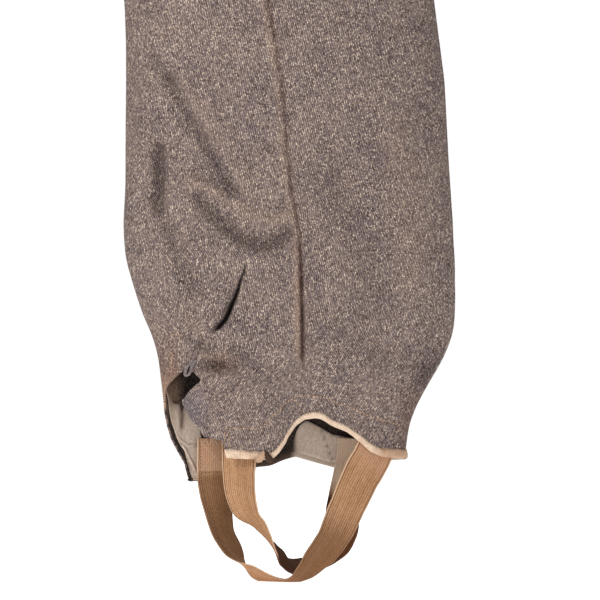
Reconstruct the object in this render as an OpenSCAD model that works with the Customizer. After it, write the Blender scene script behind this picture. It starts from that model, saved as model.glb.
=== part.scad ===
// Stirrup trousers: heather wool twill, held under each foot by two crossing elastic straps.
// Millimetres. +Z is up, +X is the wearer's left, the front faces -Y and the soles rest at Z = 0.
// Angles round a leg start at the outer side (0), pass the front (90), the inner side (180) and the back (270).

/* [Heights] */
// Top edge of the waistband
waist_z = 1058; // [1050:1:1070]
// Depth of the waistband
band_h = 40; // [36:1:42]
// Lowest point of the crotch seam
crotch_z = 815; // [812:1:818]
// Line where the thigh folds up to the hip
fold_z = 790; // [786:1:794]
// Line where the leg folds at the knee
knee_z = 480; // [460:1:500]
// Corners of the front hem
hem_z = 102; // [100:1:106]

/* [Leg] */
// Distance of a leg's centre line from the middle at the crotch
leg_x = 138; // [137:1:142]
// Outward lean of each leg in degrees
lean = 6.5; // [6:0.5:8]
// Half the width of the leg at the calf
calf_w = 134; // [130:1:134]
// Half the width of the leg at the hem
hem_w = 88; // [86:1:90]
// Half the depth of the leg at the thigh fold
thigh_d = 75; // [72:1:76]
// Half the depth of the leg at the hem
hem_d = 34; // [33:1:36]
// Height over which the ankle tapers
taper_h = 190; // [180:5:210]
// Rise of the arch over the instep
arch_h = 30; // [26:1:36]
// Length of the slit at the inner ankle
slit_h = 72; // [66:1:76]

/* [Hip] */
// Half the width at the hip
hip_w = 272; // [270:1:274]
// Half the width at the waist
waist_w = 190; // [186:1:194]
// Half the depth in front at the waist
waist_d = 62; // [60:1:64]
// Half the depth of the seat
seat_d = 90; // [86:1:92]

/* [Cloth] */
// Thickness of the wool
wool_t = 2; // [1.8:0.1:2.2]
// Thickness of the cotton facings
cotton_t = 0.8; // [0.7:0.1:0.9]
// Height of the tape bound over the hem
tape_h = 4.5; // [4:0.5:5]
// Width of the elastic straps
strap_w = 30; // [28:1:30]
// Thickness of the elastic straps
strap_t = 1.6; // [1.4:0.1:1.7]

/* [Fittings] */
// Radius of the brace buttons
button_r = 8.5; // [8:0.5:9]
// Thickness of the brace buttons
button_t = 3; // [2.8:0.1:3.2]
// Radius of the press stud caps
cap_r = 7.5; // [7:0.5:8]

/* [Hidden] */
$fn = 48;

wool = [0.42, 0.37, 0.34];
cotton = [0.66, 0.62, 0.57];
tape = [0.82, 0.68, 0.53];
elastic = [0.66, 0.49, 0.35];
horn = [0.20, 0.14, 0.10];
steel = [0.62, 0.60, 0.56];

gap = 1;                       // clearance left at every fold line
seam_gap = 0.9;                // degrees left open at each side of a seam
side_seam = 6;                 // angle of the outer seam
slit_seam = 142;               // angle of the inner seam at the top of the slit
inseam = 180;                  // angle of the inner seam at the thigh
band_z = waist_z - band_h;     // seam between waistband and hip
back_hem_drop = 10;            // the back hem hangs this much below the front corners
swing_z = hem_z - 17;          // stirrup straps swing about this line
ankle_in = 20;                 // the ankle tapers this much more on its outer side
rise_h = 65;                   // height over which the crotch seam curves to the front
lining_in = wool_t + 1;        // depth of the facings inside the wool
band_t = 3;                    // waistband thickness
fly_x = 40;                    // width of the fly flap
fly_z = 872;                   // bottom of the fly
tab_out = 2.4;                 // the tab stands this far in front of the band
tab_end_x = -26;               // free end of the waistband tab
cinch_z = 988;                 // centre line of the cinch straps
cinch_w = 20;                  // width of the cinch straps
stud_gap = 1.4;                // height of the press stud posts

function ease(t) = let (c = min(1, max(0, t))) c * c * (3 - 2 * c);
function mix(a, b, t) = a + (b - a) * t;

// ---- Leg shape ----
function leg_c(z) = leg_x + (crotch_z - z) * tan(lean) - ankle_in * ease((hem_z + 105 - z) / 85);
function leg_a(z) = hem_w + (calf_w - hem_w) * pow(sin(90 * min(1, max(0, z - hem_z) / taper_h)), 1.35);
function leg_b(z) = mix(hem_d, thigh_d, (z - hem_z) / (fold_z - hem_z));
function leg_point(z, angle, depth) =
    [leg_c(z) + (leg_a(z) - depth) * cos(angle), -(leg_b(z) - depth) * sin(angle), z];
function inner_seam(z) = mix(slit_seam, inseam, ease((z - hem_z - slit_h) / 420));

// Edges of the slit: angle against height as a share of the slit. The front's edge is notched at the
// corner, and the two edges part in a diamond below the bar tack.
slit_front = [[0, 130], [0.17, 141], [0.58, 153], [0.82, 140], [1, slit_seam - seam_gap]];
slit_back = [[-0.3, 181], [0.58, 180], [0.83, 162], [1, slit_seam + seam_gap]];
function front_edge(z) = z > hem_z + slit_h ? inner_seam(z) - seam_gap : lookup((z - hem_z) / slit_h, slit_front);
function back_edge(z) = z > hem_z + slit_h ? inner_seam(z) + seam_gap : lookup((z - hem_z) / slit_h, slit_back);
// Angle at share p of the way round a panel. Only the quarter beside the inner seam follows that seam.
function front_angle(p, z) =
    mix(side_seam + seam_gap, slit_seam, p) + (front_edge(z) - slit_seam) * ease((p - 0.7) / 0.3);
function back_angle(p, z) =
    mix(slit_seam, 360 + side_seam - seam_gap, p) + (back_edge(z) - slit_seam) * (1 - ease(p / 0.3));

// Bottom edge of the front: flat at the corners, with an arch over the instep
function arch(u) = abs(u) < 1 ? (1 + cos(180 * u)) / 2 : 0;
function front_hem(p) = let (u = cos(front_angle(p, hem_z)) - 0.18)
    hem_z + arch_h * arch(u / (u < 0 ? 0.37 : 0.68));
// The back hem has a small rise over the heel and a long corner beside the slit
function back_hem(p) = let (u = cos(back_angle(p, hem_z)))
    hem_z - back_hem_drop + 9 * exp(-pow((u - 0.04) / 0.16, 2)) + 5 * ease((u - 0.5) / 0.5)
        - 12 * pow(max(0, -u - 0.35) / 0.55, 1.3);

// ---- Hip shape: four panels that blend from two legs to one waist ----
function hip_mix(z) = ease((z - crotch_z) / rise_h);
function hip_a(z) = mix(hip_w, waist_w, ease((z - crotch_z - 20) / (band_z - crotch_z + 10)));
function front_b(z) = mix(thigh_d, waist_d, max(0, z - crotch_z) / (band_z - crotch_z));
function seat_b(z) = z < crotch_z ? thigh_d
    : mix(mix(thigh_d, seat_d, ease((z - crotch_z) / 50)), waist_d, ease((z - crotch_z - 50) / 160));
// turn is 0 at the centre seam and 90 at the side
function waist_point(z, turn, back, depth) =
    let (b = back && turn < 90 ? seat_b(z) : front_b(z), dir = back ? 1 : -1)
    [0.6 + (hip_a(z) - depth - 0.6) * sin(turn), dir * (b - depth) * cos(turn), z];
function hip_front_point(z, p, depth) =
    mix(leg_point(z, mix(inseam, side_seam, p), depth), waist_point(z, 86 * p, false, depth), hip_mix(z));
function hip_back_point(z, p, depth) =
    mix(leg_point(z, mix(inseam, 360 + side_seam, p), depth), waist_point(z, 94 * p, true, depth), hip_mix(z));
// Share of the way round from centre seam to side seam at a given distance from the centre
function front_share(x, z) = asin((x - 0.6) / (hip_a(z) - 0.6)) / 86;
function back_share(x, z) = asin((x - 0.6) / (hip_a(z) - 0.6)) / 94;

// ---- Cloth ----
// A closed sheet: skin(p, q, depth) gives a point, with p round the body and q up it
module sheet(np, nq, skin, outer, inner) {
    row = np + 1;
    all = row * (nq + 1);
    points = [for (depth = [outer, inner], j = [0:nq], i = [0:np]) skin(i / np, j / nq, depth)];
    function at(layer, i, j) = layer * all + j * row + i;
    faces = concat(
        [for (j = [0:nq - 1], i = [0:np - 1])
            each [[at(0, i, j), at(0, i + 1, j), at(0, i + 1, j + 1)],
                  [at(0, i, j), at(0, i + 1, j + 1), at(0, i, j + 1)],
                  [at(1, i, j), at(1, i + 1, j + 1), at(1, i + 1, j)],
                  [at(1, i, j), at(1, i, j + 1), at(1, i + 1, j + 1)]]],
        [for (i = [0:np - 1])
            each [[at(0, i, 0), at(1, i, 0), at(1, i + 1, 0)],
                  [at(0, i, 0), at(1, i + 1, 0), at(0, i + 1, 0)],
                  [at(0, i, nq), at(0, i + 1, nq), at(1, i + 1, nq)],
                  [at(0, i, nq), at(1, i + 1, nq), at(1, i, nq)]]],
        [for (j = [0:nq - 1])
            each [[at(0, 0, j), at(0, 0, j + 1), at(1, 0, j + 1)],
                  [at(0, 0, j), at(1, 0, j + 1), at(1, 0, j)],
                  [at(0, np, j), at(1, np, j + 1), at(0, np, j + 1)],
                  [at(0, np, j), at(1, np, j), at(1, np, j + 1)]]]);
    polyhedron(points, faces, convexity = 6);
}

// Smooth curve through control points
function spline(c, t) = let (n = len(c) - 1, i = min(n - 1, floor(t * n)), f = t * n - i,
    a = c[max(0, i - 1)], b = c[i], d = c[i + 1], e = c[min(n, i + 2)])
    0.5 * (2 * b + (d - a) * f + (2 * a - 5 * b + 4 * d - e) * f * f + (3 * b - a - 3 * d + e) * f * f * f);
function unit(v) = v / norm(v);

// A flat strap along path(t), with its width along across(t)
module ribbon(n, path, across, width, thick) {
    points = [for (i = [0:n])
        let (t = i / n, run = unit(path(min(1, t + 0.01)) - path(max(0, t - 0.01))),
             raw = across(t), w = unit(raw - (raw * run) * run), up = cross(run, w))
        for (corner = [[1, 1], [-1, 1], [-1, -1], [1, -1]])
            path(t) + w * corner[0] * width / 2 + up * corner[1] * thick / 2];
    faces = concat([[3, 2, 1, 0]], [[4 * n, 4 * n + 1, 4 * n + 2, 4 * n + 3]],
        [for (i = [0:n - 1], k = [0:3])
            let (a = 4 * i + k, b = 4 * i + (k + 1) % 4)
            each [[a, b, b + 4], [a, b + 4, a + 4]]]);
    polyhedron(points, faces, convexity = 6);
}

// ---- Leg panels ----
module hip_front(fly) color(wool) difference() {
    sheet(12, 10, function(p, q, d) hip_front_point(mix(fold_z + gap, band_z - gap, q), 0.999 - 0.998 * p, d),
        0, wool_t);
    if (fly) translate([-5, -100, fly_z - gap]) cube([fly_x + 6, 95, band_z]);
}
module hip_back() color(wool)
    sheet(14, 10, function(p, q, d) hip_back_point(mix(fold_z + gap, band_z - gap, q), 0.001 + 0.994 * p, d),
        0, wool_t);
// bottom(p) is the lower edge. Rows are closer together near the bottom.
module front_panel(np, nq, bottom, top, outer, inner)
    sheet(np, nq, function(p, q, d) let (z = mix(bottom(p), top, pow(q, 1.6))) leg_point(z, front_angle(p, z), d),
        outer, inner);
module back_panel(np, nq, bottom, top, outer, inner)
    sheet(np, nq, function(p, q, d) let (z = mix(bottom(p), top, pow(q, 1.6))) leg_point(z, back_angle(p, z), d),
        outer, inner);

module thigh_front() color(wool) front_panel(12, 5, function(p) knee_z + gap, fold_z - gap, 0, wool_t);
module thigh_back() color(wool) back_panel(16, 5, function(p) knee_z + gap, fold_z - gap, 0, wool_t);
tape_top = tape_h + 0.5;
hem_steps = 26;        // steps round each hem, the same for every layer so that they stay parallel
facing_step = 9;       // the slit facing ends and the back hem facing starts at this step
module shin_front() color(wool)
    front_panel(hem_steps, 14, function(p) front_hem(p) + tape_top, knee_z - gap, 0, wool_t);
module shin_back() color(wool)
    back_panel(hem_steps, 14, function(p) back_hem(p) + tape_top, knee_z - gap, 0, wool_t);

// ---- Hem ----
// A band of cloth that follows the hem, from low to high above it
module hem_front_band(rows, low, high, outer, inner)
    sheet(hem_steps, rows, function(p, q, d)
        let (z = front_hem(p) + mix(low, high, q)) leg_point(z, front_angle(p, z), d), outer, inner);
module hem_back_band(first, rows, low, high, outer, inner)
    sheet(hem_steps - first, rows, function(p, q, d)
        let (r = mix(first / hem_steps, 1, p), z = back_hem(r) + mix(low, high, q))
        leg_point(z, back_angle(r, z), d), outer, inner);
module hem_binding_front() color(tape) hem_front_band(1, 0, tape_h, -0.8, wool_t + 0.8);
module hem_binding_back() color(tape) hem_back_band(0, 1, 0, tape_h, -0.8, wool_t + 0.8);
module hem_facing_front() color(cotton)
    hem_front_band(4, tape_top + 0.3, tape_top + 16, lining_in, lining_in + cotton_t);
module hem_facing_back() color(cotton)
    hem_back_band(facing_step, 4, tape_top + 0.3, tape_top + 21, lining_in, lining_in + cotton_t);
module slit_facing() color(cotton)
    sheet(facing_step, 8, function(p, q, d)
        let (r = p * (facing_step - 0.1) / hem_steps, z = mix(back_hem(r) + tape_top + 0.3, hem_z + 0.6 * slit_h, q))
        leg_point(z, back_angle(r, z), d), lining_in, lining_in + cotton_t);
module slit_bar_tack() color(cotton)
    translate(leg_point(hem_z + slit_h + 3, slit_seam, -2.8)) rotate([0, 20, 28]) {
        translate([0, 0, -5]) cylinder(r = 1.2, h = 10);
        translate([0, 0, -5]) sphere(r = 1.2);
        translate([0, 0, 5]) sphere(r = 1.2);
    }

// ---- Stirrups ----
// Strap points: distance from the leg's centre as a share of the hem's half width, depth, and height
function strap_at(p) = [leg_c(hem_z) + p[0] * hem_w, p[1], p[2] * swing_z / 85];
module strap(n, path, across) color(elastic)
    ribbon(n, function(t) strap_at(spline(path, t)), function(t) spline(across, t), strap_w, strap_t);
// Sewn ends inside the hem, above the line the straps swing about
module strap_ends() {
    strap(3, [[-0.73, 11, 115], [-0.73, 11, 90]], [[0.92, 0.38, 0], [0.92, 0.38, 0]]);
    strap(3, [[0.615, -17.6, 90], [0.75, -13, 116]], [[0.9, 0.4, 0], [0.85, 0.5, 0]]);
    strap(3, [[-0.49, -19, 116], [-0.49, -19, 87]], [[1, -0.35, 0], [1, -0.35, 0]]);
    strap(3, [[0.50, 19, 87], [0.53, 18, 116]], [[1, -0.35, 0], [1, -0.35, 0]]);
}
// From the inner back, under the sole, to the outer front
module stirrup_strap_outer() strap(32,
    [[-0.73, 11, 84], [-0.69, 14, 66], [-0.63, 17, 43], [-0.52, 17, 21], [-0.39, 13, 9.5], [-0.21, 6, 4.6],
     [-0.03, -1, 3.7], [0.13, -9, 8], [0.26, -16, 22], [0.37, -20, 39], [0.47, -21, 59], [0.59, -18.4, 84]],
    [[0.92, 0.38, 0], [0.9, 0.4, 0], [0.85, 0.5, -0.1], [0.6, 0.8, -0.25], [0.3, 0.95, -0.22], [0.1, 0.98, -0.18],
     [0, 0.98, -0.16], [0.3, 0.9, -0.1], [0.7, 0.6, 0], [0.9, 0.35, 0.15], [0.95, 0.25, 0.2], [0.9, 0.4, 0]]);
// From the inner front, over the outer strap, to the outer back
module stirrup_strap_inner() strap(32,
    [[-0.49, -19, 84], [-0.48, -20, 67], [-0.40, -18, 51], [-0.29, -12, 42], [-0.21, -6, 32], [-0.12, 2, 21],
     [0.02, 12, 15], [0.19, 21, 14], [0.37, 24, 20], [0.44, 25, 32], [0.46, 24, 51], [0.50, 19, 84]],
    [[1, -0.35, 0], [1, -0.35, 0], [0.85, -0.5, -0.1], [0.5, -0.85, -0.3], [0.2, -0.9, -0.38], [0.05, -0.93, -0.36],
     [0.1, -0.95, -0.3], [0.3, -0.9, -0.25], [0.6, -0.75, -0.1], [0.9, -0.45, 0], [1, -0.35, 0], [1, -0.35, 0]]);

// ---- Front pockets ----
module pocket_bag() color(cotton)
    sheet(6, 6, function(p, q, d)
        let (z = mix(crotch_z - 8, band_z - 4, q))
        hip_front_point(z, mix(0.88, mix(0.34, 0.5, q), p), d), 9, 10.6);
module pocket_welt() color(wool)
    sheet(2, 8, function(p, q, d)
        let (z = mix(band_z - 142, band_z - 3, q), f = mix(0.93, 0.60, q))
        hip_front_point(z, mix(f, f - 0.05, p), d), -1.4, -0.3);

// ---- Waistband ----
// Point on the band, from its centre front (0) round the wearer's left to the centre back (180)
function band_point(turn, z, depth) =
    [(waist_w - depth) * sin(turn), -(waist_d - depth) * cos(turn), z];
module band_arc(from, to, n, z0, z1, outer, inner)
    sheet(n, 1, function(p, q, d) band_point(mix(from, to, p), mix(z0, z1, q), d), outer, inner);
function band_turn(x) = asin(x / waist_w);

module waistband() color(wool) mirror([1, 0, 0])
    band_arc(360 - band_turn(fly_x + 1), band_turn(-12), 48, band_z + 0.2, waist_z, 0, band_t);
module waistband_lining() color(cotton) mirror([1, 0, 0])
    band_arc(360 - band_turn(fly_x + 4), band_turn(-6), 48, band_z + 2, waist_z - 2, band_t + 0.3, band_t + 1.3);
module waistband_tab() color(wool) mirror([1, 0, 0])
    band_arc(band_turn(-tab_end_x), band_turn(-fly_x), 8, band_z + 0.2, waist_z, -tab_out - 2.2, -tab_out);

// Places a fitting on the band, with +Z of the fitting pointing away from the body
module on_band(turn, z, out = 0)
    translate(band_point(turn, z, -out))
        rotate([90, 0, atan2(waist_d * sin(turn), waist_w * cos(turn))]) children();

module belt_loop() color(wool) difference() {
    translate([-6, 1.5 - band_h / 2, 0]) cube([12, band_h - 2, 6]);
    translate([-7, 5 - band_h / 2, -1]) cube([14, band_h - 9, 5.4]);
}
module belt_loops()
    for (turn = [30, 65, 120, 158, 202, 240, 295, 330]) on_band(turn, waist_z - band_h / 2, 0.35) belt_loop();

module sewn_button(r, t) difference() {
    cylinder(r = r, h = t);
    translate([0, 0, t - 0.6]) cylinder(r = r * 0.62, h = 1);
    for (k = [0:3]) rotate([0, 0, 45 + 90 * k]) translate([r * 0.26, 0, -1]) cylinder(r = 0.9, h = t + 2);
}
// The shank is the wound thread that holds the button off the cloth
module shanked_button(r, t, shank) {
    color(horn) translate([0, 0, shank]) sewn_button(r, t);
    color(cotton) cylinder(r = 1.1, h = shank - 0.02);
}
module brace_buttons_front()
    for (turn = [20, 40, 320, 340]) on_band(turn, waist_z - 20, 0.4) shanked_button(button_r, button_t, 2.6);
module brace_buttons_back()
    for (turn = [172, 188]) on_band(turn, waist_z - 20, 0.4) shanked_button(button_r, button_t, 2.6);

// ---- Fly ----
module fly_flap() color(wool)
    sheet(3, 6, function(p, q, d)
        let (z = mix(fly_z, band_z - gap, q))
        hip_front_point(z, front_share(mix(fly_x - 0.6, 1, p), z), d), 0, wool_t);
module fly_shield() color(wool)
    sheet(4, 6, function(p, q, d)
        let (z = mix(fly_z - 12, band_z - gap, q), x = mix(fly_x - 4, -26, p),
             side = hip_front_point(z, front_share(abs(x) + 1.3, z), d))
        [x, side[1], z], 7.2, 8.8);
module fly_buttons()
    for (k = [0:3]) let (z = fly_z + 20 + 34 * k)
        translate([18, -front_b(z) + 6.9, z]) rotate([90, 0, 0]) {
            color(horn) translate([0, 0, 0.8]) sewn_button(6.5, 2.4);
            color(cotton) cylinder(r = 1, h = 0.78);
        }

// ---- Press studs ----
module stud_cap() color(steel) {
    rotate_extrude() polygon([[0, 0], [cap_r, 0], [cap_r, 0.8], [cap_r - 1.2, 1.7], [0, 2.2]]);
}
module stud_post() color(steel) {
    cylinder(r = 5, h = 0.5);
    cylinder(r = 2.2, h = stud_gap);
}
module waist_stud_cap() on_band(360 - band_turn(12), waist_z - 20, tab_out + 2.5) stud_cap();
module waist_stud_post() on_band(360 - band_turn(12), waist_z - 20, 0.2) stud_post();

// ---- Back pocket, on the wearer's right ----
flap_x = 118;    // centre of the flap
flap_w = 112;    // width of the flap
flap_z = 950;    // top edge of the flap
flap_h = 52;     // depth of the flap
module right() mirror([1, 0, 0]) children();
module back_pocket_flap() color(wool) right()
    sheet(8, 4, function(p, q, d)
        let (dip = 12 * (1 - abs(2 * p - 1)), z = mix(flap_z - flap_h - dip, flap_z, q))
        hip_back_point(z, back_share(flap_x + flap_w * (p - 0.5), z), d), -2.6, -0.9);
module back_pocket_bag() color(cotton) right()
    sheet(6, 5, function(p, q, d)
        let (z = mix(flap_z - 130, flap_z - 6, q))
        hip_back_point(z, back_share(flap_x + (flap_w - 8) * (p - 0.5), z), d), 7, 8.4);
stud_z = flap_z - flap_h + 4;
function seat_point(x, z, depth) = hip_back_point(z, back_share(x, z), depth);
module on_seat(x, z, out) {
    here = seat_point(x, z, -out);
    along = seat_point(x + 1, z, -out) - here;
    above = seat_point(x, z + 1, -out) - here;
    n = unit(cross(above, along));
    translate(here) rotate([0, acos(n[2]), atan2(n[1], n[0])]) children();
}
module pocket_stud_cap() right() on_seat(flap_x, stud_z, 2.9) stud_cap();
module pocket_stud_post() right() on_seat(flap_x, stud_z, 0.15) color(steel) cylinder(r = 4.5, h = 0.5);

// ---- Cinch at the back of the waist ----
function cinch_point(x, z, depth) =
    let (side = seat_point(abs(x) + 0.6, z, depth)) [x, side[1], z];
cinch_out = 2.4;       // outer face of the straps, in front of the seat
module cinch_sheet(x0, x1) color(wool)
    sheet(10, 1, function(p, q, d) cinch_point(mix(x0, x1, p), cinch_z + (q - 0.5) * cinch_w, d), -cinch_out, -1);
// The buckle lies flat on the seat, which slopes in towards the waist
buckle_y = cinch_point(0, cinch_z, 0)[1] + 4.2;
cinch_tilt = atan2(cinch_point(0, cinch_z - 5, 0)[1] - cinch_point(0, cinch_z + 5, 0)[1], 10);
buckle_x = 12;
bar_r = 1.1;
module at_buckle() translate([0, buckle_y, cinch_z]) rotate([cinch_tilt, 0, 0]) children();
// The strap wraps round the buckle's bar on both sides of the prong
module cinch_strap_left() {
    cinch_sheet(buckle_x + 3.2, 92);
    color(wool) at_buckle() for (z = [-cinch_w / 2, 2.5]) translate([buckle_x, 0, z])
        difference() {
            union() {
                cylinder(r = 2.8, h = cinch_w / 2 - 2.5);
                translate([0, -2.8, 0]) cube([9, 1.3, cinch_w / 2 - 2.5]);
            }
            translate([0, 0, -1]) cylinder(r = bar_r + 0.15, h = cinch_w / 2);
        }
}
module cinch_strap_right() cinch_sheet(-92, buckle_x - 5);
module cinch_buckle() color(steel) at_buckle() {
    for (x = [-buckle_x, buckle_x]) translate([x, 0, -14]) cylinder(r = bar_r, h = 28);
    for (z = [-14, 14]) translate([-buckle_x, 0, z]) rotate([0, 90, 0]) cylinder(r = bar_r, h = 2 * buckle_x);
    for (x = [-buckle_x, buckle_x], z = [-14, 14]) translate([x, 0, z]) sphere(r = bar_r);
}
module cinch_prong() color(steel) at_buckle() {
    difference() {
        translate([buckle_x, 0, -1.5]) cylinder(r = 2.2, h = 3);
        translate([buckle_x, 0, -3]) cylinder(r = bar_r + 0.05, h = 6);
    }
    translate([-buckle_x - 2, bar_r + 0.9, 0]) rotate([0, 90, 0]) cylinder(r = 0.8, h = 2 * buckle_x + 2);
}

// ---- Parts ----
hip_front(true);  // hip_front_left
right() hip_front(false);  // hip_front_right
hip_back();  // hip_back_left
right() hip_back();  // hip_back_right
thigh_front();  // thigh_front_left
right() thigh_front();  // thigh_front_right
thigh_back();  // thigh_back_left
right() thigh_back();  // thigh_back_right
shin_front();  // shin_front_left
right() shin_front();  // shin_front_right
shin_back();  // shin_back_left
right() shin_back();  // shin_back_right
hem_facing_front();  // hem_facing_front_left
right() hem_facing_front();  // hem_facing_front_right
hem_facing_back();  // hem_facing_back_left
right() hem_facing_back();  // hem_facing_back_right
slit_facing();  // slit_facing_left
right() slit_facing();  // slit_facing_right
hem_binding_front();  // hem_binding_front_left
right() hem_binding_front();  // hem_binding_front_right
hem_binding_back();  // hem_binding_back_left
right() hem_binding_back();  // hem_binding_back_right
slit_bar_tack();  // slit_bar_tack_left
right() slit_bar_tack();  // slit_bar_tack_right
strap_ends();  // strap_ends_left
right() strap_ends();  // strap_ends_right
stirrup_strap_outer();  // stirrup_strap_outer_left
right() stirrup_strap_outer();  // stirrup_strap_outer_right
stirrup_strap_inner();  // stirrup_strap_inner_left
right() stirrup_strap_inner();  // stirrup_strap_inner_right
pocket_bag();  // pocket_bag_left
right() pocket_bag();  // pocket_bag_right
pocket_welt();  // pocket_welt_left
right() pocket_welt();  // pocket_welt_right
waistband();
waistband_lining();
waistband_tab();
waist_stud_cap();
waist_stud_post();
fly_flap();
fly_shield();
fly_buttons();
belt_loops();
brace_buttons_front();
brace_buttons_back();
cinch_strap_left();
cinch_strap_right();
cinch_buckle();
cinch_prong();
back_pocket_flap();
back_pocket_bag();
pocket_stud_cap();
pocket_stud_post();
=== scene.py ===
import math

import bpy
import numpy as np
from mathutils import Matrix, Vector


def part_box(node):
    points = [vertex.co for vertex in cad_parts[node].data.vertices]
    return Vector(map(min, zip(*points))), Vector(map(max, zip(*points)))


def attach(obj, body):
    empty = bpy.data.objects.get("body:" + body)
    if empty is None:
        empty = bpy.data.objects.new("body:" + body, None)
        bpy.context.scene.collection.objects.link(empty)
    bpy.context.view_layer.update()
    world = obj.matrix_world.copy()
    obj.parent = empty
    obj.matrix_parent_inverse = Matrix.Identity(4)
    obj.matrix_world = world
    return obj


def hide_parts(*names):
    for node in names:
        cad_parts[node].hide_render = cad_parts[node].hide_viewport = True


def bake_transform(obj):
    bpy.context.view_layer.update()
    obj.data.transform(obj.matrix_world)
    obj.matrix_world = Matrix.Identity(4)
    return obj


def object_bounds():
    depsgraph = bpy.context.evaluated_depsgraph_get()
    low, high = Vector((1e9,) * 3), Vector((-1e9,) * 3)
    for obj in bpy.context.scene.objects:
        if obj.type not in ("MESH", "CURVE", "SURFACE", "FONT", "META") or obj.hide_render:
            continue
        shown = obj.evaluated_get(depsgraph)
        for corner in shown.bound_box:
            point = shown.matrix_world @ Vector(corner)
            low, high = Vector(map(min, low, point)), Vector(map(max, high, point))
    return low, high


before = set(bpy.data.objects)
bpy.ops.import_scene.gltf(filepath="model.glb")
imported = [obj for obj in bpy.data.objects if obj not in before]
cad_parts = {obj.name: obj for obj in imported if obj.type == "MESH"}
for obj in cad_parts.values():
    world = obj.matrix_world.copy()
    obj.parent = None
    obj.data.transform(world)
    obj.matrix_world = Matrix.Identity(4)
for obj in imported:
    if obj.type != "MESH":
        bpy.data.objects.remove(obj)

LO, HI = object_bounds()


def mm(node, corner, axis):
    """One coordinate of a CAD node's box in millimetres."""
    return round(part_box(node)[corner][axis] * 1000, 1)


# ---- Sizes, read from the frame where a box gives them (mm, degrees) ----
WAIST_Z = mm("waistband", 1, 2)
HEM_Z = mm("hem_binding_front_left", 0, 2)
KNEE_Z = mm("thigh_front_left", 0, 2) - 1
FOLD_Z = mm("thigh_front_left", 1, 2) + 1
BAND_Z = round(mm("waistband", 0, 2) - 0.2)
FLY_Z = mm("fly_flap", 0, 2)
CROTCH_Z = FOLD_Z + 25
WAIST_A = round(-mm("waistband", 0, 0))
WAIST_B = round(mm("waistband", 1, 1))
HIP_A, THIGH_B, HEM_B, SEAT_B = 272, 75, 34, 90
LEG_X, LEAN, HEM_A, CALF_A, TAPER, SLIT_H, ANKLE_IN = 138, 6.5, 88, 134, 190, 72, 20
TAPE_H, FLY_X, CINCH_Z, CINCH_W = 4.5, 40, 988, 20
FLAP_X, FLAP_W, FLAP_Z, FLAP_H = 118, 112, 950, 52
SPLIT_Z = 640          # the upper and the lower cloth of a leg meet here
SLIT_TOP = HEM_Z + SLIT_H
rng = np.random.default_rng(11)


# ---- Small maths ----
def ease(t):
    c = np.clip(t, 0, 1)
    return c * c * (3 - 2 * c)


def mix(a, b, t):
    return a + (b - a) * t


def cosd(a):
    return np.cos(np.radians(a))


def sind(a):
    return np.sin(np.radians(a))


def unit(v):
    return v / np.maximum(np.linalg.norm(v, axis=-1, keepdims=True), 1e-9)


def curve(x, table):
    """Smooth curve through (x, y) pairs."""
    t = np.array(table, float)
    fine = np.linspace(t[0, 0], t[-1, 0], 400)
    y = np.interp(fine, t[:, 0], t[:, 1])
    k = np.hanning(15)
    k /= k.sum()
    y = np.convolve(np.pad(y, 7, mode="edge"), k, "valid")
    return np.interp(x, fine, y)


def spline(points, t):
    """Catmull-Rom curve through control points, at shares t of its length."""
    c = np.array(points, float)
    n = len(c) - 1
    i = np.minimum(n - 1, np.floor(t * n).astype(int))
    f = (t * n - i)[:, None]
    a, b, d, e = c[np.maximum(0, i - 1)], c[i], c[i + 1], c[np.minimum(n, i + 2)]
    return 0.5 * (2 * b + (d - a) * f + (2 * a - 5 * b + 4 * d - e) * f ** 2 + (3 * b - a - 3 * d + e) * f ** 3)


def ripple(x, z, seed, size):
    """Soft irregular waves about size mm apart, between -1 and 1."""
    r = np.random.default_rng(seed)
    total = 0
    for _ in range(7):
        f, a, ph = r.uniform(0.6, 1.7) / size, r.uniform(0, math.pi), r.uniform(0, 6.28)
        total = total + np.sin(2 * math.pi * f * (x * math.cos(a) + z * math.sin(a)) + ph)
    return total / 4.0


def beside(x, z, line):
    """Signed distance to a line through points (positive on its +X side when it runs down) and the share along it."""
    pts = np.array(line, float)
    seg = np.diff(pts, axis=0)
    length = np.linalg.norm(seg, axis=1)
    start = np.concatenate([[0], np.cumsum(length)])
    best = np.full(np.shape(x), 1e9)
    side, share = np.zeros_like(best), np.zeros_like(best)
    for k in range(len(seg)):
        dx, dz = x - pts[k, 0], z - pts[k, 1]
        t = np.clip((dx * seg[k, 0] + dz * seg[k, 1]) / length[k] ** 2, 0, 1)
        ex, ez = dx - t * seg[k, 0], dz - t * seg[k, 1]
        d = np.hypot(ex, ez)
        s = np.sign(seg[k, 0] * dz - seg[k, 1] * dx)
        near = d < best
        best = np.where(near, d, best)
        side = np.where(near, s, side)
        share = np.where(near, (start[k] + t * length[k]) / start[-1], share)
    return best * side, share


# ---- The trousers' shape, the same surfaces as the CAD ----
def leg_c(z):
    return LEG_X + (CROTCH_Z - z) * math.tan(math.radians(LEAN)) - ANKLE_IN * ease((HEM_Z + 105 - z) / 85)


def leg_a(z):
    return HEM_A + (CALF_A - HEM_A) * sind(90 * np.clip((z - HEM_Z) / TAPER, 0, 1)) ** 1.35


def leg_b(z):
    return mix(HEM_B, THIGH_B, (z - HEM_Z) / (FOLD_Z - HEM_Z))


def stack(x, y, z):
    return np.stack(np.broadcast_arrays(x, y, z), -1).astype(float)


def leg_point(z, ang, depth=0):
    return stack(leg_c(z) + (leg_a(z) - depth) * cosd(ang), -(leg_b(z) - depth) * sind(ang), z)


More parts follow.
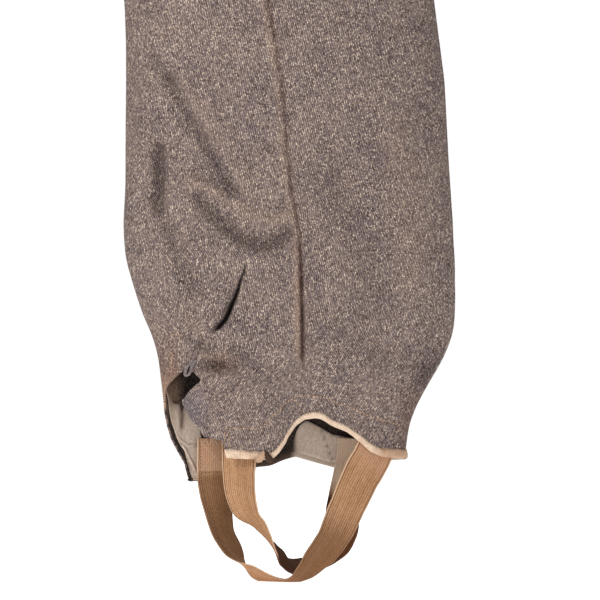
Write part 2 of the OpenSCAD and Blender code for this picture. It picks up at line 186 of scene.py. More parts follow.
# The worn cloth bulges a little from the flat pattern: how far each side stands out at a height
INNER_OUT = [[78, 6], [100, 9], [115, 8.5], [147, 4.5], [179, 4.5], [211, 6.5], [243, 5.5], [260, 5.5], [290, 2],
             [320, -3], [346, -6], [371, -9], [403, -13], [435, -16.5], [467, -19], [520, -17], [580, -7], [640, 0]]
OUTER_OUT = [[78, 1], [107, 2.5], [130, 3], [179, 3], [211, 1], [243, -3], [275, -5], [339, -2], [403, 2],
             [467, 1], [640, 0]]


def leg_skin(z, ang, depth=0):
    """The lower leg's surface with its bulges."""
    c = cosd(ang)
    P = leg_point(z, ang, depth)
    P[..., 0] += curve(z, OUTER_OUT) * np.clip(c, 0, 1) ** 1.5 - curve(z, INNER_OUT) * np.clip(-c, 0, 1) ** 1.5
    return P


def inner_seam(z):
    return mix(142, 180, ease((z - HEM_Z - SLIT_H) / 420))


SLIT_FRONT = [[-0.1, 124.8], [0.17, 125], [0.205, 135.5], [0.6, 149.2], [0.84, 134.4], [1, 142.2]]
SLIT_BACK = [[-0.3, 213.5], [-0.19, 206], [-0.02, 198], [0.18, 187], [0.58, 180], [0.75, 168], [0.85, 156], [1, 142.8]]


def edge_angle(z, table):
    t = np.array(table)
    return np.where(z > SLIT_TOP, inner_seam(z), np.interp((z - HEM_Z) / SLIT_H, t[:, 0], t[:, 1]))


def front_angle(p, z):
    return mix(6, 142, p) + (edge_angle(z, SLIT_FRONT) - 142) * ease((p - 0.7) / 0.3)


def back_angle(p, z):
    return mix(142, 366, p) + (edge_angle(z, SLIT_BACK) - 142) * (1 - ease(p / 0.3))


# Lower edges of the two panels: x and height
HEM_FRONT = [[110, 101], [144, 101.2], [170, 100.2], [180.6, 99.4], [186, 103.5], [191.4, 110.6], [194.6, 117.6],
             [201.3, 127.3], [208.2, 131.9], [216.4, 133.2], [221.8, 132.2], [228.8, 127.2], [242.6, 121.5],
             [253.6, 113], [261.8, 105.8], [270.2, 102.2], [286, 100.8], [296, 101]]
HEM_BACK = [[104, 80.5], [120.7, 81.1], [140, 85.5], [169.8, 92.6], [180.2, 93.6], [190, 98], [200.2, 101.1],
            [212, 97.5], [231.4, 92.1], [255, 94.5], [277.8, 98.2], [296, 100]]


def hem(p, angle, table):
    """Height of the lower edge at share p of the way round a panel."""
    z = np.full(np.shape(p), float(HEM_Z))
    for _ in range(14):
        z = mix(z, curve(leg_skin(z, angle(p, z))[..., 0], table), 0.6)
    return z


def hip_mix(z):
    return ease((z - CROTCH_Z) / 65)


def hip_a(z):
    return mix(HIP_A, WAIST_A, ease((z - CROTCH_Z - 20) / (BAND_Z - CROTCH_Z + 10)))


def front_b(z):
    return mix(THIGH_B, WAIST_B, np.maximum(0, z - CROTCH_Z) / (BAND_Z - CROTCH_Z))


def seat_b(z):
    full = mix(mix(THIGH_B, SEAT_B, ease((z - CROTCH_Z) / 50)), WAIST_B, ease((z - CROTCH_Z - 50) / 160))
    return np.where(z < CROTCH_Z, THIGH_B, full)


def waist_point(z, turn, back, depth=0):
    b = np.where((turn < 90) & back, seat_b(z), front_b(z))
    return stack(0.6 + (hip_a(z) - depth - 0.6) * sind(turn), (1 if back else -1) * (b - depth) * cosd(turn), z)


def hip_front_point(z, p, depth=0):
    leg = leg_point(z, mix(180, 6, p), depth)
    return mix(leg, waist_point(z, 86 * p, False, depth), hip_mix(z + 0 * p)[..., None])


def hip_back_point(z, p, depth=0):
    leg = leg_point(z, mix(180, 366, p), depth)
    return mix(leg, waist_point(z, 94 * p, True, depth), hip_mix(z + 0 * p)[..., None])


def front_share(x, z):
    return np.degrees(np.arcsin((x - 0.6) / (hip_a(z) - 0.6))) / 86


def back_share(x, z):
    return np.degrees(np.arcsin((x - 0.6) / (hip_a(z) - 0.6))) / 94


def band_point(turn, z, depth=0):
    return stack((WAIST_A - depth) * sind(turn), -(WAIST_B - depth) * cosd(turn), z)


# ---- Mesh building ----
def grid_normal(P):
    du = np.gradient(P, axis=1)
    dv = np.gradient(P, axis=0)
    return unit(np.cross(du, dv))


class Mesh:
    """Vertices, faces, texture coordinates (m) and tints of one piece. Points are given in mm."""

    def __init__(self):
        self.v, self.f, self.uv, self.tint, self.n = [], [], [], [], 0
        self.sharp = np.zeros((0, 2), int)

    def add(self, verts, faces, uv=None, tint=None):
        verts = np.asarray(verts, float).reshape(-1, 3)
        n = len(verts)
        self.v.append(verts)
        self.f += (np.asarray(faces) + self.n).tolist()
        self.uv.append(np.zeros((n, 2)) if uv is None else np.asarray(uv, float).reshape(-1, 2))
        self.tint.append(np.zeros((n, 5)) if tint is None else np.asarray(tint, float).reshape(-1, 5))
        self.n += n
        return self

    def sheet(self, outer, inner, uv, tint=None, crisp=False):
        """Cloth between two grids. Crisp edges are for sheets that meet without a seam."""
        rows, cols = outer.shape[:2]
        ids = np.arange(rows * cols).reshape(rows, cols)
        a, b, c, d = ids[:-1, :-1], ids[:-1, 1:], ids[1:, 1:], ids[1:, :-1]
        top = np.stack([a, b, c, d], -1).reshape(-1, 4)
        n = rows * cols
        ring = np.concatenate([ids[0, :-1], ids[:-1, -1], ids[-1, :0:-1], ids[:0:-1, 0]])
        near = np.concatenate([ids[1, :-1], ids[:-1, -2], ids[-2, :0:-1], ids[:0:-1, 1]])
        O, I = outer.reshape(-1, 3), inner.reshape(-1, 3)
        thick = np.linalg.norm(O[ring] - I[ring], axis=1, keepdims=True)
        mid = (O[ring] + I[ring]) / 2 + unit(O[ring] - O[near]) * thick * 0.4
        k = np.arange(len(ring))
        k1 = (k + 1) % len(ring)
        m = 2 * n + k
        m1 = 2 * n + k1
        rim = np.concatenate([np.stack([ring[k1], ring, m, m1], -1),
                              np.stack([m1, m, ring + n, ring[k1] + n], -1)])
        faces = np.concatenate([top, top[:, ::-1] + n, rim])
        if crisp:
            edge = np.stack([ring, ring[k1]], -1) + self.n
            self.sharp = np.concatenate([self.sharp, edge, edge + n])
        if (grid_normal(outer) * (outer - inner)).sum() < 0:
            faces = faces[:, ::-1]
            uv = uv * [-1, 1]
        uv = uv.reshape(-1, 2)
        t = np.zeros((n, 5)) if tint is None else tint.reshape(-1, 5)
        # Inner faces are marked inside; the wool darkens them, painted shade of the interior over the darker wrong side
        # of the cloth.
        under = t.copy()
        under[:, 2] = 1
        return self.add(np.concatenate([O, I, mid]), faces, np.concatenate([uv, uv, uv[ring]]),
                        np.concatenate([t, under, t[ring]]))

    def tube(self, path, radius, sides=8, flat=1.0, across=None):
        """Round or flattened thread or cord along a path."""
        P = np.asarray(path, float)
        run = unit(np.gradient(P, axis=0))
        ref = np.array([0.13, 0.9, 0.4]) if across is None else across
        w = unit(np.cross(run, ref))
        h = np.cross(w, run)
        a = np.linspace(0, 2 * math.pi, sides, endpoint=False)
        r = np.broadcast_to(radius, len(P))[:, None, None]
        ring = P[:, None] + r * (np.cos(a)[None, :, None] * w[:, None] + flat * np.sin(a)[None, :, None] * h[:, None])
        return self.loops(ring, np.stack([np.zeros(ring.shape[:2]), np.zeros(ring.shape[:2])], -1))

    def loops(self, ring, uv, tint=None):
        """Closed skin over a row of closed rings, capped at both ends."""
        n, k = ring.shape[:2]
        ids = np.arange(n * k).reshape(n, k)
        nxt = np.roll(ids, -1, axis=1)
        faces = np.stack([ids[:-1], nxt[:-1], nxt[1:], ids[1:]], -1).reshape(-1, 4)
        sense = np.cross(ring[0, 1] - ring[0, 0], ring[1, 0] - ring[0, 0]) @ (ring[0, 0] - ring[0].mean(0))
        caps = [ids[0][::-1].tolist(), ids[-1].tolist()]
        if sense < 0:
            faces = faces[:, ::-1]
            caps = [c[::-1] for c in caps]
        base = self.n
        self.add(ring.reshape(-1, 3), faces, uv, tint)
        self.f += [[i + base for i in c] for c in caps]
        return self

    def build(self, name, material, side=1):
        v = np.concatenate(self.v) / 1000
        f = self.f
        if side < 0:
            v = v * [-1, 1, 1]
            f = [q[::-1] for q in f]
        me = bpy.data.meshes.new(name)
        me.from_pydata(v.tolist(), [], f)
        me.polygons.foreach_set("use_smooth", np.ones(len(me.polygons), bool))
        at = np.zeros(len(me.loops), int)
        me.loops.foreach_get("vertex_index", at)
        uv = np.concatenate(self.uv) / 1000 * [side, 1]
        me.uv_layers.new(name="UVMap").data.foreach_set("uv", uv[at].ravel())
        tint = np.concatenate(self.tint)
        layer = me.color_attributes.new("tint", "FLOAT_COLOR", "POINT")
        layer.data.foreach_set("color", tint[:, :4].ravel())
        # The last mask holds painted light, and a pale tone on the back panel by the slit.
        me.attributes.new("wear", "FLOAT", "POINT").data.foreach_set("value", tint[:, 4])
        if len(self.sharp):
            ends = np.zeros(len(me.edges) * 2, int)
            me.edges.foreach_get("vertices", ends)
            key = np.sort(ends.reshape(-1, 2), axis=1) @ [self.n, 1]
            hard = np.sort(self.sharp, axis=1) @ [self.n, 1]
            mark = me.attributes.new("sharp_edge", "BOOLEAN", "EDGE")
            mark.data.foreach_set("value", np.isin(key, hard))
        me.materials.append(material)
        me.update()
        ob = bpy.data.objects.new(name, me)
        bpy.context.scene.collection.objects.link(ob)
        return ob


def arc(P, ref, axis=1):
    """Distance along a grid's rows (or columns) from reference line ref."""
    step = np.linalg.norm(np.diff(P, axis=axis), axis=-1)
    total = np.concatenate([np.zeros_like(np.take(step, [0], axis)), np.cumsum(step, axis)], axis)
    return total - np.take(total, [ref], axis)


def plain_sheet(mesh, skin, cols, rows, outer, inner, wave=None, tone=None):
    """Adds a sheet given by skin(p, q, depth). wave and tone take the outer points."""
    p, q = np.meshgrid(np.linspace(0, 1, cols + 1), np.linspace(0, 1, rows + 1))
    O, I = skin(p, q, outer), skin(p, q, inner)
    tint = None if tone is None else tone(O)
    uv = np.stack([arc(O, cols // 2), arc(O, 0, 0)], -1)
    if wave is not None:
        shift = wave(O)[..., None] * unit(O - I)
        O, I = O + shift, I + shift
    return mesh.sheet(O, I, uv, tint)


def shades(like, **channels):
    """Tint masks of a grid: brown, cool, inside, dark, and painted light with a pale tone. Dark is mostly painted
    shade, and brown is painted shade in many places.
    """
    names = ("brown", "cool", "inside", "dark", "wear")
    return np.stack([np.clip(channels.get(k, 0) + 0 * like, 0, 1) for k in names], -1)


def soft(amp, size, seed):
    """Waves of a loose cloth, as a function of its points."""
    return lambda P: amp * ripple(P[..., 0] + P[..., 1], P[..., 2], seed, size)


def finish_piece(ob, body=None, bend=None, nodes=()):
    if bend:
        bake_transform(ob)
    else:
        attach(ob, body)
    if nodes:
        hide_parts(*nodes)
    return ob


# ---- Materials ----
def srgb(r, g, b):
    c = np.array([r, g, b]) / 255
    c = np.where(c <= 0.04045, c / 12.92, ((c + 0.055) / 1.055) ** 2.4)
    return (*c.tolist(), 1)


class Shader:
    """A material made of nodes."""

    def __init__(self, name):
        self.mat = bpy.data.materials.new(name)
        self.mat.use_nodes = True
        self.tree = self.mat.node_tree
        self.tree.nodes.clear()
        self.uv = self.add("UVMap", uv_map="UVMap").outputs[0]

    def add(self, kind, inputs=None, **props):
        n = self.tree.nodes.new("ShaderNode" + kind)
        for k, v in props.items():
            setattr(n, k, v)
        for k, v in (inputs or {}).items():
            if isinstance(v, bpy.types.NodeSocket):
                self.tree.links.new(v, n.inputs[k])
            else:
                n.inputs[k].default_value = v
        return n

    def math(self, op, a, b=0.0, clamp=False):
        return self.add("Math", {0: a, 1: b}, operation=op, use_clamp=clamp).outputs[0]

    def dot(self, x, y, vec=None):
        v = self.uv if vec is None else vec
        return self.add("VectorMath", {0: v, 1: (x, y, 0)}, operation="DOT_PRODUCT").outputs["Value"]

    def blend(self, f, a, b, kind="MIX"):
        return self.add("Mix", {0: f, 6: a, 7: b}, data_type="RGBA", blend_type=kind).outputs[2]

    def pair(self, x, y):
        return self.add("CombineXYZ", {0: x, 1: y}).outputs[0]

    def noise(self, scale, detail=2.0, rough=0.5, vec=None):
        return self.add("TexNoise", {"Vector": self.uv if vec is None else vec, "Scale": scale, "Detail": detail,
                                     "Roughness": rough}).outputs[0]

    def white(self, x, y):
        return self.add("TexWhiteNoise", {"Vector": self.pair(x, y)}, noise_dimensions="2D").outputs["Value"]

    def ramp(self, f, stops, kind="LINEAR"):
        n = self.add("ValToRGB", {0: f})
        n.color_ramp.interpolation = kind
        els = n.color_ramp.elements
        while len(els) < len(stops):
            els.new(0.5)
        for e, (at, colour) in zip(els, stops):
            e.position, e.color = at, colour
        return n.outputs[0]

    def tint(self):
        """Masks painted on the mesh: brown, cool, inside, dark, and painted light with a pale tone; much of brown and
        dark is painted shade.
        """
        a = self.add("Attribute", attribute_name="tint").outputs
        split = self.add("SeparateColor", {0: a["Color"]}).outputs
        return [split[0], split[1], split[2], a["Alpha"], self.add("Attribute", attribute_name="wear").outputs["Fac"]]

    def bump(self, height, distance, strength=1.0, normal=None):
        ins = {"Height": height, "Distance": distance, "Strength": strength}
        if normal is not None:
            ins["Normal"] = normal
        return self.add("Bump", ins).outputs[0]

    def surface(self, colour, rough, normal=None, sheen=0.0, **more):
        ins = {"Base Color": colour, "Roughness": rough, "Sheen Weight": sheen, "Sheen Roughness": 0.45}
        if normal is not None:
            ins["Normal"] = normal
        ins.update(more)
        b = self.add("BsdfPrincipled", ins)
        out = self.add("OutputMaterial")
        self.tree.links.new(b.outputs[0], out.inputs[0])
        return self.mat


def wool_cloth():
    """Steep twill of mixed brown, grey and tan yarns with light flecks."""
    s = Shader("wool_twill")
    lean, pitch, run = math.radians(72), 0.0014, 0.0016
    wob = s.math("MULTIPLY", s.math("SUBTRACT", s.noise(60, 2), 0.5), 0.8)
    r = s.math("ADD", s.dot(math.sin(lean) / pitch, -math.cos(lean) / pitch), wob)
    rib = s.math("FLOOR", r)
    along = s.math("ADD", s.dot(math.cos(lean) / run, math.sin(lean) / run), s.math("MULTIPLY", s.white(rib, 3.1), 3.0))
    step = s.math("FLOOR", along)
    yarn = s.white(rib, step)
    fine = s.white(s.math("FLOOR", s.math("MULTIPLY", r, 2.0)), s.math("FLOOR", s.math("MULTIPLY", along, 1.6)))
    level = s.math("ADD", s.math("MULTIPLY", yarn, 0.38), s.math("MULTIPLY", fine, 0.62))
    colour = s.ramp(level, [(0.08, srgb(50, 38, 35)), (0.28, srgb(84, 71, 68)), (0.44, srgb(112, 101, 104)),
                            (0.58, srgb(124, 110, 106)), (0.74, srgb(146, 128, 117)), (0.93, srgb(202, 185, 169))])
    cloud = s.noise(22, 7, 0.6)
    colour = s.blend(0.24, colour, s.ramp(cloud, [(0.35, srgb(76, 66, 66)), (0.65, srgb(134, 117, 106))]))
    mask = s.tint()
    # Brown: painted shade on the crease's shaded flank, along the leg's sides and in a dip above the slit; browner by
    # the slit on the back panel.
    colour = s.blend(s.math("MULTIPLY", mask[0], 0.9), colour, s.blend(0.6, colour, srgb(82, 46, 28)))
    colour = s.blend(mask[1], colour, s.blend(0.5, colour, srgb(84, 84, 94)))
    # Lighter tan: painted highlight on the crease's lit flank and on fold ridges, and a pale patch on the back panel by
    # the slit.
    colour = s.blend(mask[4], colour, s.blend(0.5, colour, srgb(176, 144, 116)))
    # The inner face is darkened: painted shade of the interior over the darker wrong side of the wool, less where the
    # last mask is set.
    inside = s.math("MULTIPLY", mask[2], s.math("SUBTRACT", 1.0, s.math("MULTIPLY", mask[4], 0.95)))
    colour = s.blend(inside, colour, s.blend(0.82, colour, srgb(30, 21, 19)))
    # Dark: painted shade in the crease groove, the tuck, fold hollows, a dip above the slit and the right hem corner.
    colour = s.blend(mask[3], colour, srgb(18, 11, 9))
    groove = s.math("POWER", s.math("SINE", s.math("MULTIPLY", s.math("FRACT", r), math.pi)), 0.7)
    twist = s.math("POWER", s.math("SINE", s.math("MULTIPLY", s.math("FRACT", along), math.pi)), 0.5)
    height = s.math("ADD", s.math("MULTIPLY", groove, 0.75), s.math("MULTIPLY", twist, 0.25))
    fuzz = s.noise(1500, 3, 0.7)
    shade = s.math("MULTIPLY", s.math("ADD", s.math("MULTIPLY", groove, 1.45), 0.0),
                   s.math("ADD", s.math("MULTIPLY", twist, 0.25), 0.82))
    colour = s.blend(1.0, colour, s.add("CombineColor", {0: shade, 1: shade, 2: shade}).outputs[0], "MULTIPLY")
    height = s.math("ADD", height, s.math("MULTIPLY", fuzz, 0.5))
    return s.surface(colour, 0.95, s.bump(height, 0.0005, 0.7), 0.06,
                     **{"Sheen Tint": srgb(176, 160, 152), "Specular IOR Level": 0.12})


def cotton_cloth():
    """Plain weave lining cotton, warm grey, a little stained."""
    s = Shader("cotton_lining")
    u, v = s.dot(2200, 0), s.dot(0, 2200)
    thread = s.white(s.math("FLOOR", u), s.math("FLOOR", s.math("MULTIPLY", v, 0.25)))
    colour = s.ramp(thread, [(0.0, srgb(200, 180, 164)), (1.0, srgb(228, 210, 195))])
    colour = s.blend(s.ramp(s.noise(22, 4, 0.65), [(0.45, (0, 0, 0, 1)), (0.8, (1, 1, 1, 1))]), colour,
                     srgb(196, 166, 140))
    mask = s.tint()
    # Brown: painted shade along the slit facing's wrinkle and at its top, and browner to the right on the back facing.
    colour = s.blend(mask[0], colour, s.blend(0.7, colour, srgb(120, 84, 62)))
    # Dark: seam lines, and painted shade deep in the wrinkle and on the back facing's left part behind the front panel.
    colour = s.blend(mask[3], colour, srgb(34, 18, 13))
    height = s.math("ADD", s.math("SINE", s.math("MULTIPLY", u, math.pi)), s.math("SINE", s.math("MULTIPLY", v, math.pi)))
    return s.surface(colour, 0.85, s.bump(height, 0.0001, 0.6), 0.05, **{"Specular IOR Level": 0.2})


def tape_cloth():
    """Woven cotton tape, tan, with random darker stains."""
    s = Shader("hem_tape")
    u, v = s.dot(1300, 0), s.dot(0, 900)
    thread = s.white(s.math("FLOOR", u), s.math("FLOOR", v))
    colour = s.ramp(thread, [(0.0, srgb(202, 177, 154)), (1.0, srgb(222, 201, 180))])
    stain = s.ramp(s.noise(70, 4, 0.6), [(0.48, (0, 0, 0, 1)), (0.8, (1, 1, 1, 1))])
    colour = s.blend(s.math("MULTIPLY", stain, 0.6), colour, srgb(172, 134, 102))
    mask = s.tint()
    colour = s.blend(mask[0], colour, s.blend(0.85, colour, srgb(150, 108, 76)))
    colour = s.blend(mask[1], colour, srgb(172, 160, 148))
    # Dark: painted shade on the back tape's left part and on the second half of the bunched end.
    colour = s.blend(mask[3], colour, srgb(36, 18, 10))
    height = s.math("ADD", s.math("SINE", s.math("MULTIPLY", u, math.pi)), s.math("MULTIPLY", s.noise(420, 3), 1.6))
    return s.surface(colour, 0.8, s.bump(height, 0.00012, 0.6), 0.1, **{"Specular IOR Level": 0.2})


def elastic_web():
    """Ribbed elastic webbing, tan, with woven edges and random darker worn patches; its masks add painted shade and
    painted light.
    """
    s = Shader("elastic_web")
    across = s.dot(1000, 0)
    rib = s.math("DIVIDE", across, 1.85)
    cross = s.dot(0, 1 / 0.0011)
    cord = s.math("MULTIPLY", s.math("ADD", s.math("SINE", s.math("MULTIPLY", rib, 2 * math.pi)), 1.0), 0.5)
    weft = s.white(s.math("FLOOR", s.math("MULTIPLY", rib, 2)), s.math("FLOOR", cross))
    streak = s.white(s.math("FLOOR", rib), 5.5)
    level = s.math("ADD", s.math("ADD", s.math("MULTIPLY", cord, 0.34), s.math("MULTIPLY", weft, 0.24)),
                   s.math("ADD", s.math("MULTIPLY", streak, 0.18), 0.08))
    colour = s.ramp(level, [(0.1, srgb(118, 82, 56)), (0.45, srgb(164, 125, 93)), (0.85, srgb(196, 159, 127))])
    worn = s.ramp(s.noise(26, 5, 0.6), [(0.42, (0, 0, 0, 1)), (0.72, (1, 1, 1, 1))])
    colour = s.blend(s.math("MULTIPLY", worn, 0.55), colour, srgb(144, 104, 72))
    mask = s.tint()
    # Lighter where cool is set: the outer strap's raw end, and painted light on its upper right part.
    colour = s.blend(mask[1], colour, s.blend(0.7, colour, srgb(190, 150, 124)))
    out = s.math("ABSOLUTE", across)
    edge = s.math("GREATER_THAN", out, 13.9)
    line = s.math("SUBTRACT", s.math("GREATER_THAN", out, 13.0), edge)
    colour = s.blend(s.math("MULTIPLY", line, 0.6), colour, srgb(84, 52, 34))
    colour = s.blend(s.math("MULTIPLY", edge, 0.6), colour, srgb(206, 176, 148))
    # Browner: painted shade on the outer strap's left part, and darker towards its bottom right.
    colour = s.blend(mask[0], colour, s.blend(0.8, colour, srgb(94, 60, 36)))
    # Dark: painted shade on the inner strap under the foot.
    colour = s.blend(mask[3], colour, s.blend(0.85, colour, srgb(68, 32, 12)))
    # Painted light on the inner strap's upper right part.
    colour = s.blend(mask[4], colour, s.blend(0.6, colour, srgb(255, 234, 210)))
    height = s.math("ADD", s.math("MULTIPLY", cord, 0.9), s.math("MULTIPLY", s.math("SINE", s.math("MULTIPLY", cross, 6.283)), 0.3))
    return s.surface(colour, 0.8, s.bump(height, 0.00025, 0.7), 0.0, **{"Specular IOR Level": 0.02})


def thread_of(name, colour, dark):
    s = Shader(name)
    n = s.add("TexNoise", {"Vector": s.add("TexCoord").outputs["Object"], "Scale": 900.0}).outputs[0]
    return s.surface(s.ramp(n, [(0.3, dark), (0.7, colour)]), 0.7, s.bump(n, 0.0002, 0.5), 0.2)


def horn_button():
    s = Shader("horn_button")
    obj = s.add("TexCoord").outputs["Object"]
    n = s.add("TexNoise", {"Vector": obj, "Scale": 160.0, "Detail": 5.0, "Distortion": 1.6}).outputs[0]
    colour = s.ramp(n, [(0.3, srgb(40, 27, 20)), (0.55, srgb(78, 54, 38)), (0.75, srgb(124, 92, 62))])
    fine = s.add("TexNoise", {"Vector": obj, "Scale": 1400.0, "Detail": 3.0}).outputs[0]
    rough = s.math("ADD", s.math("MULTIPLY", fine, 0.25), 0.25)
    return s.surface(colour, rough, s.bump(fine, 0.00005, 0.4), **{"Coat Weight": 0.25, "Coat Roughness": 0.2})


def steel_fitting():
    s = Shader("steel_fitting")
    obj = s.add("TexCoord").outputs["Object"]
    n = s.add("TexNoise", {"Vector": obj, "Scale": 420.0, "Detail": 6.0, "Roughness": 0.7}).outputs[0]
    colour = s.ramp(n, [(0.35, srgb(126, 118, 106)), (0.6, srgb(178, 172, 162)), (0.75, srgb(196, 190, 180))])
    rough = s.math("ADD", s.math("MULTIPLY", n, 0.35), 0.22)
    return s.surface(colour, rough, s.bump(n, 0.00006, 0.5), **{"Metallic": 1.0})


WOOL, COTTON, TAPE, ELASTIC = wool_cloth(), cotton_cloth(), tape_cloth(), elastic_web()
THREAD_TAN = thread_of("thread_tan", srgb(204, 164, 118), srgb(164, 120, 80))
THREAD_PALE = thread_of("thread_pale", srgb(226, 198, 170), srgb(196, 160, 128))
THREAD_DARK = thread_of("thread_dark", srgb(74, 50, 36), srgb(40, 26, 20))
THREAD_GREY = thread_of("thread_grey", srgb(132, 120, 118), srgb(84, 74, 74))
HORN, STEEL = horn_button(), steel_fitting()


# ---- Wrinkles of the lower leg: height off the surface, and a sideways pull (mm) ----
CREASE = [[165, 640], [172, 540], [177.8, 467], [188.6, 403], [192.8, 354], [196, 320], [203, 280], [204, 259],
          [204.8, 227], [205.6, 192], [205, 170]]
TUCK = [[161, 258], [158.8, 248.6], [156, 242.5], [154.3, 236.4], [151.2, 229.1], [148.1, 222.9], [145.4, 216.2],
        [142.6, 210.7], [138.9, 206.7], [135.9, 204], [132.8, 200.3]]
FOLDS = (   # line, height, width (mm)
    ([[99, 403], [114, 379], [128, 353], [140, 331], [151, 314]], -3.6, 5.4),
    ([[84, 426], [99, 403]], -1.6, 5),
    ([[112, 395], [130, 368], [146, 340], [158, 322]], 1.5, 8),
    ([[89.4, 349], [90.2, 322], [89, 300]], -5.4, 5.0),
    ([[122, 309], [140, 291], [156, 277], [172, 270], [184, 273], [195, 280]], -4.0, 5.6),
    ([[118, 323], [132, 317], [148, 307], [164, 295], [184, 291], [196, 295]], 2.8, 5.5),
    ([[164, 311], [180, 303], [195, 302]], -1.2, 3.0),
    ([[96, 287], [106, 263], [118, 235]], -2.2, 6.5),
    ([[112, 175], [124, 191], [136, 204]], -1.6, 2.5),
    ([[134, 151], [152, 159]], -1.4, 3),
    ([[226, 330], [246, 280], [262, 236]], -1.2, 16),
    ([[280, 360], [292, 300], [290, 240]], 1.4, 14),
    ([[230, 205], [262, 186], [296, 178]], -1.3, 11),
    ([[128, 183], [146, 181.5]], 2.4, 3.4),
    ([[126, 176], [140, 172], [152, 173]], -2.6, 5.0),
    ([[152, 187], [163, 179], [172, 172]], -1.6, 3.6),
    ([[117, 196], [127, 189], [135, 186]], -1.9, 3.2),
    ([[110, 216], [122, 204], [130, 196]], 1.6, 4.5),
    ([[104, 208], [112, 196]], -1.4, 3.5),
)


def relief_front(x, z, side):
    """Shape of the pressed crease, the tuck over the ankle and the soft folds, with their painted shade and painted
    highlight: shade on the crease's right flank, in the tuck and in the fold hollows, highlight on the crease's left
    flank and the fold ridges.
    """
    h = 1.2 * ripple(x, z, 3 + side, 62) + 0.45 * ripple(x, z, 8 + side, 21) + 0.14 * ripple(x, z, 5 + side, 7)
    low = ease((215 - z) / 80)
    h = h + low * 0.4 * ripple(x, z, 21 + side, 10)
    d, s = beside(x, z, CREASE)
    firm = mix(0.5, 1.0, ease((290 - z) / 40)) * ease((z - 168) / 20)
    firm = firm * (1 + 0.25 * ripple(z, 0, 15, 16))
    h = h + 2.6 * np.exp(-np.abs(d) / 10) * ease((z - 165) / 60)
    h = h + firm * (1.1 * np.exp(-((d + 1.6) / 2.0) ** 2) - 2.2 * np.exp(-((d - 1.4) / 1.3) ** 2))
    # Painted highlight on the crease's lit left flank; painted shade, brown and dark, on its right flank and groove.
    wear = 0.45 * firm * np.exp(-((d + 3.4) / 2.0) ** 2)
    brown = 1.1 * firm * np.exp(-((d - 0.6) / 2.2) ** 2)
    dark = 0.75 * firm ** 1.3 * np.exp(-((d - 0.7) / 1.4) ** 2) * (0.8 + 0.35 * ripple(z, x, 16, 7))
    pull = np.zeros_like(h)
    if side < 0:
        return h, pull, brown, dark, wear
    d, s = beside(x, z, TUCK)
    depth = ease(s / 0.7) * ease((1 - s) / 0.16)
    h = h + depth * (3.2 * np.exp(-((d + 4.4) / 3.8) ** 2) - 7.0 * np.exp(-((d - 0.4) / 2.3) ** 2))
    pull = pull + depth * 1.2 * np.exp(-((d + 2.2) / 1.6) ** 2)
    # Painted shade deep in the tuck.
    dark = np.maximum(dark, ease(s / 0.12) * ease((1 - s) / 0.1) * np.exp(-((d - 0.2) / (0.9 + 1.7 * depth)) ** 4))
    fold = np.zeros_like(h)
    for line, amp, width in FOLDS:
        fold = fold + amp * np.exp(-(beside(x, z, line)[0] / width) ** 2)
    # Painted shade in the fold hollows, painted highlight on the fold ridges.
    dark = np.maximum(dark, 0.42 * np.clip(-fold / 3.5, 0, 1))
    wear = np.maximum(wear, 0.28 * np.clip(fold / 3, 0, 1))
    return h + 1.3 * fold, pull, brown, dark, wear


def relief_back(x, z, side):
    h = 1.0 * ripple(x, z, 31 + side, 58) + 0.4 * ripple(x, z, 38 + side, 20)
    d, _ = beside(x, z, [[165, 640], [190, 400], [203, 250], [206, 180]])
    return h + 2.0 * np.exp(-np.abs(d) / 9) * ease((z - 160) / 80)


def seam_dip(p, width):
    """Cloth rolls in towards a sewn seam at p = 0 and p = 1."""
    return -1.1 * np.exp(-(p / width) ** 2) - 1.1 * np.exp(-((1 - p) / width) ** 2)


class Panel:
    """A leg panel as a grid: points, normals and texture coordinates."""

    def __init__(self, P, out, ref, tint):
        self.P = P
        N = grid_normal(P)
        N = N * np.sign((N * out).sum())
        self.N = np.where((N * out).sum(-1, keepdims=True) < 0.45, out, N)
        self.uv = np.stack([arc(P, ref), P[..., 2]], -1)
        self.tint = tint

    def at(self, x, z, lift=0.0):
        """Point on the panel in front of (x, z), and the normal there."""
        flat, norm = self.P.reshape(-1, 3), self.N.reshape(-1, 3)
        d = (flat[:, 0] - x) ** 2 + (flat[:, 2] - z) ** 2
        i = np.argpartition(d, 4)[:4]
        w = 1 / (d[i] + 1e-3)
        w = (w / w.sum())[:, None]
        n = unit((norm[i] * w).sum(0))
        y = (flat[i] * w).sum(0)[1]
        return np.array([x, y, z]) + n * lift, n


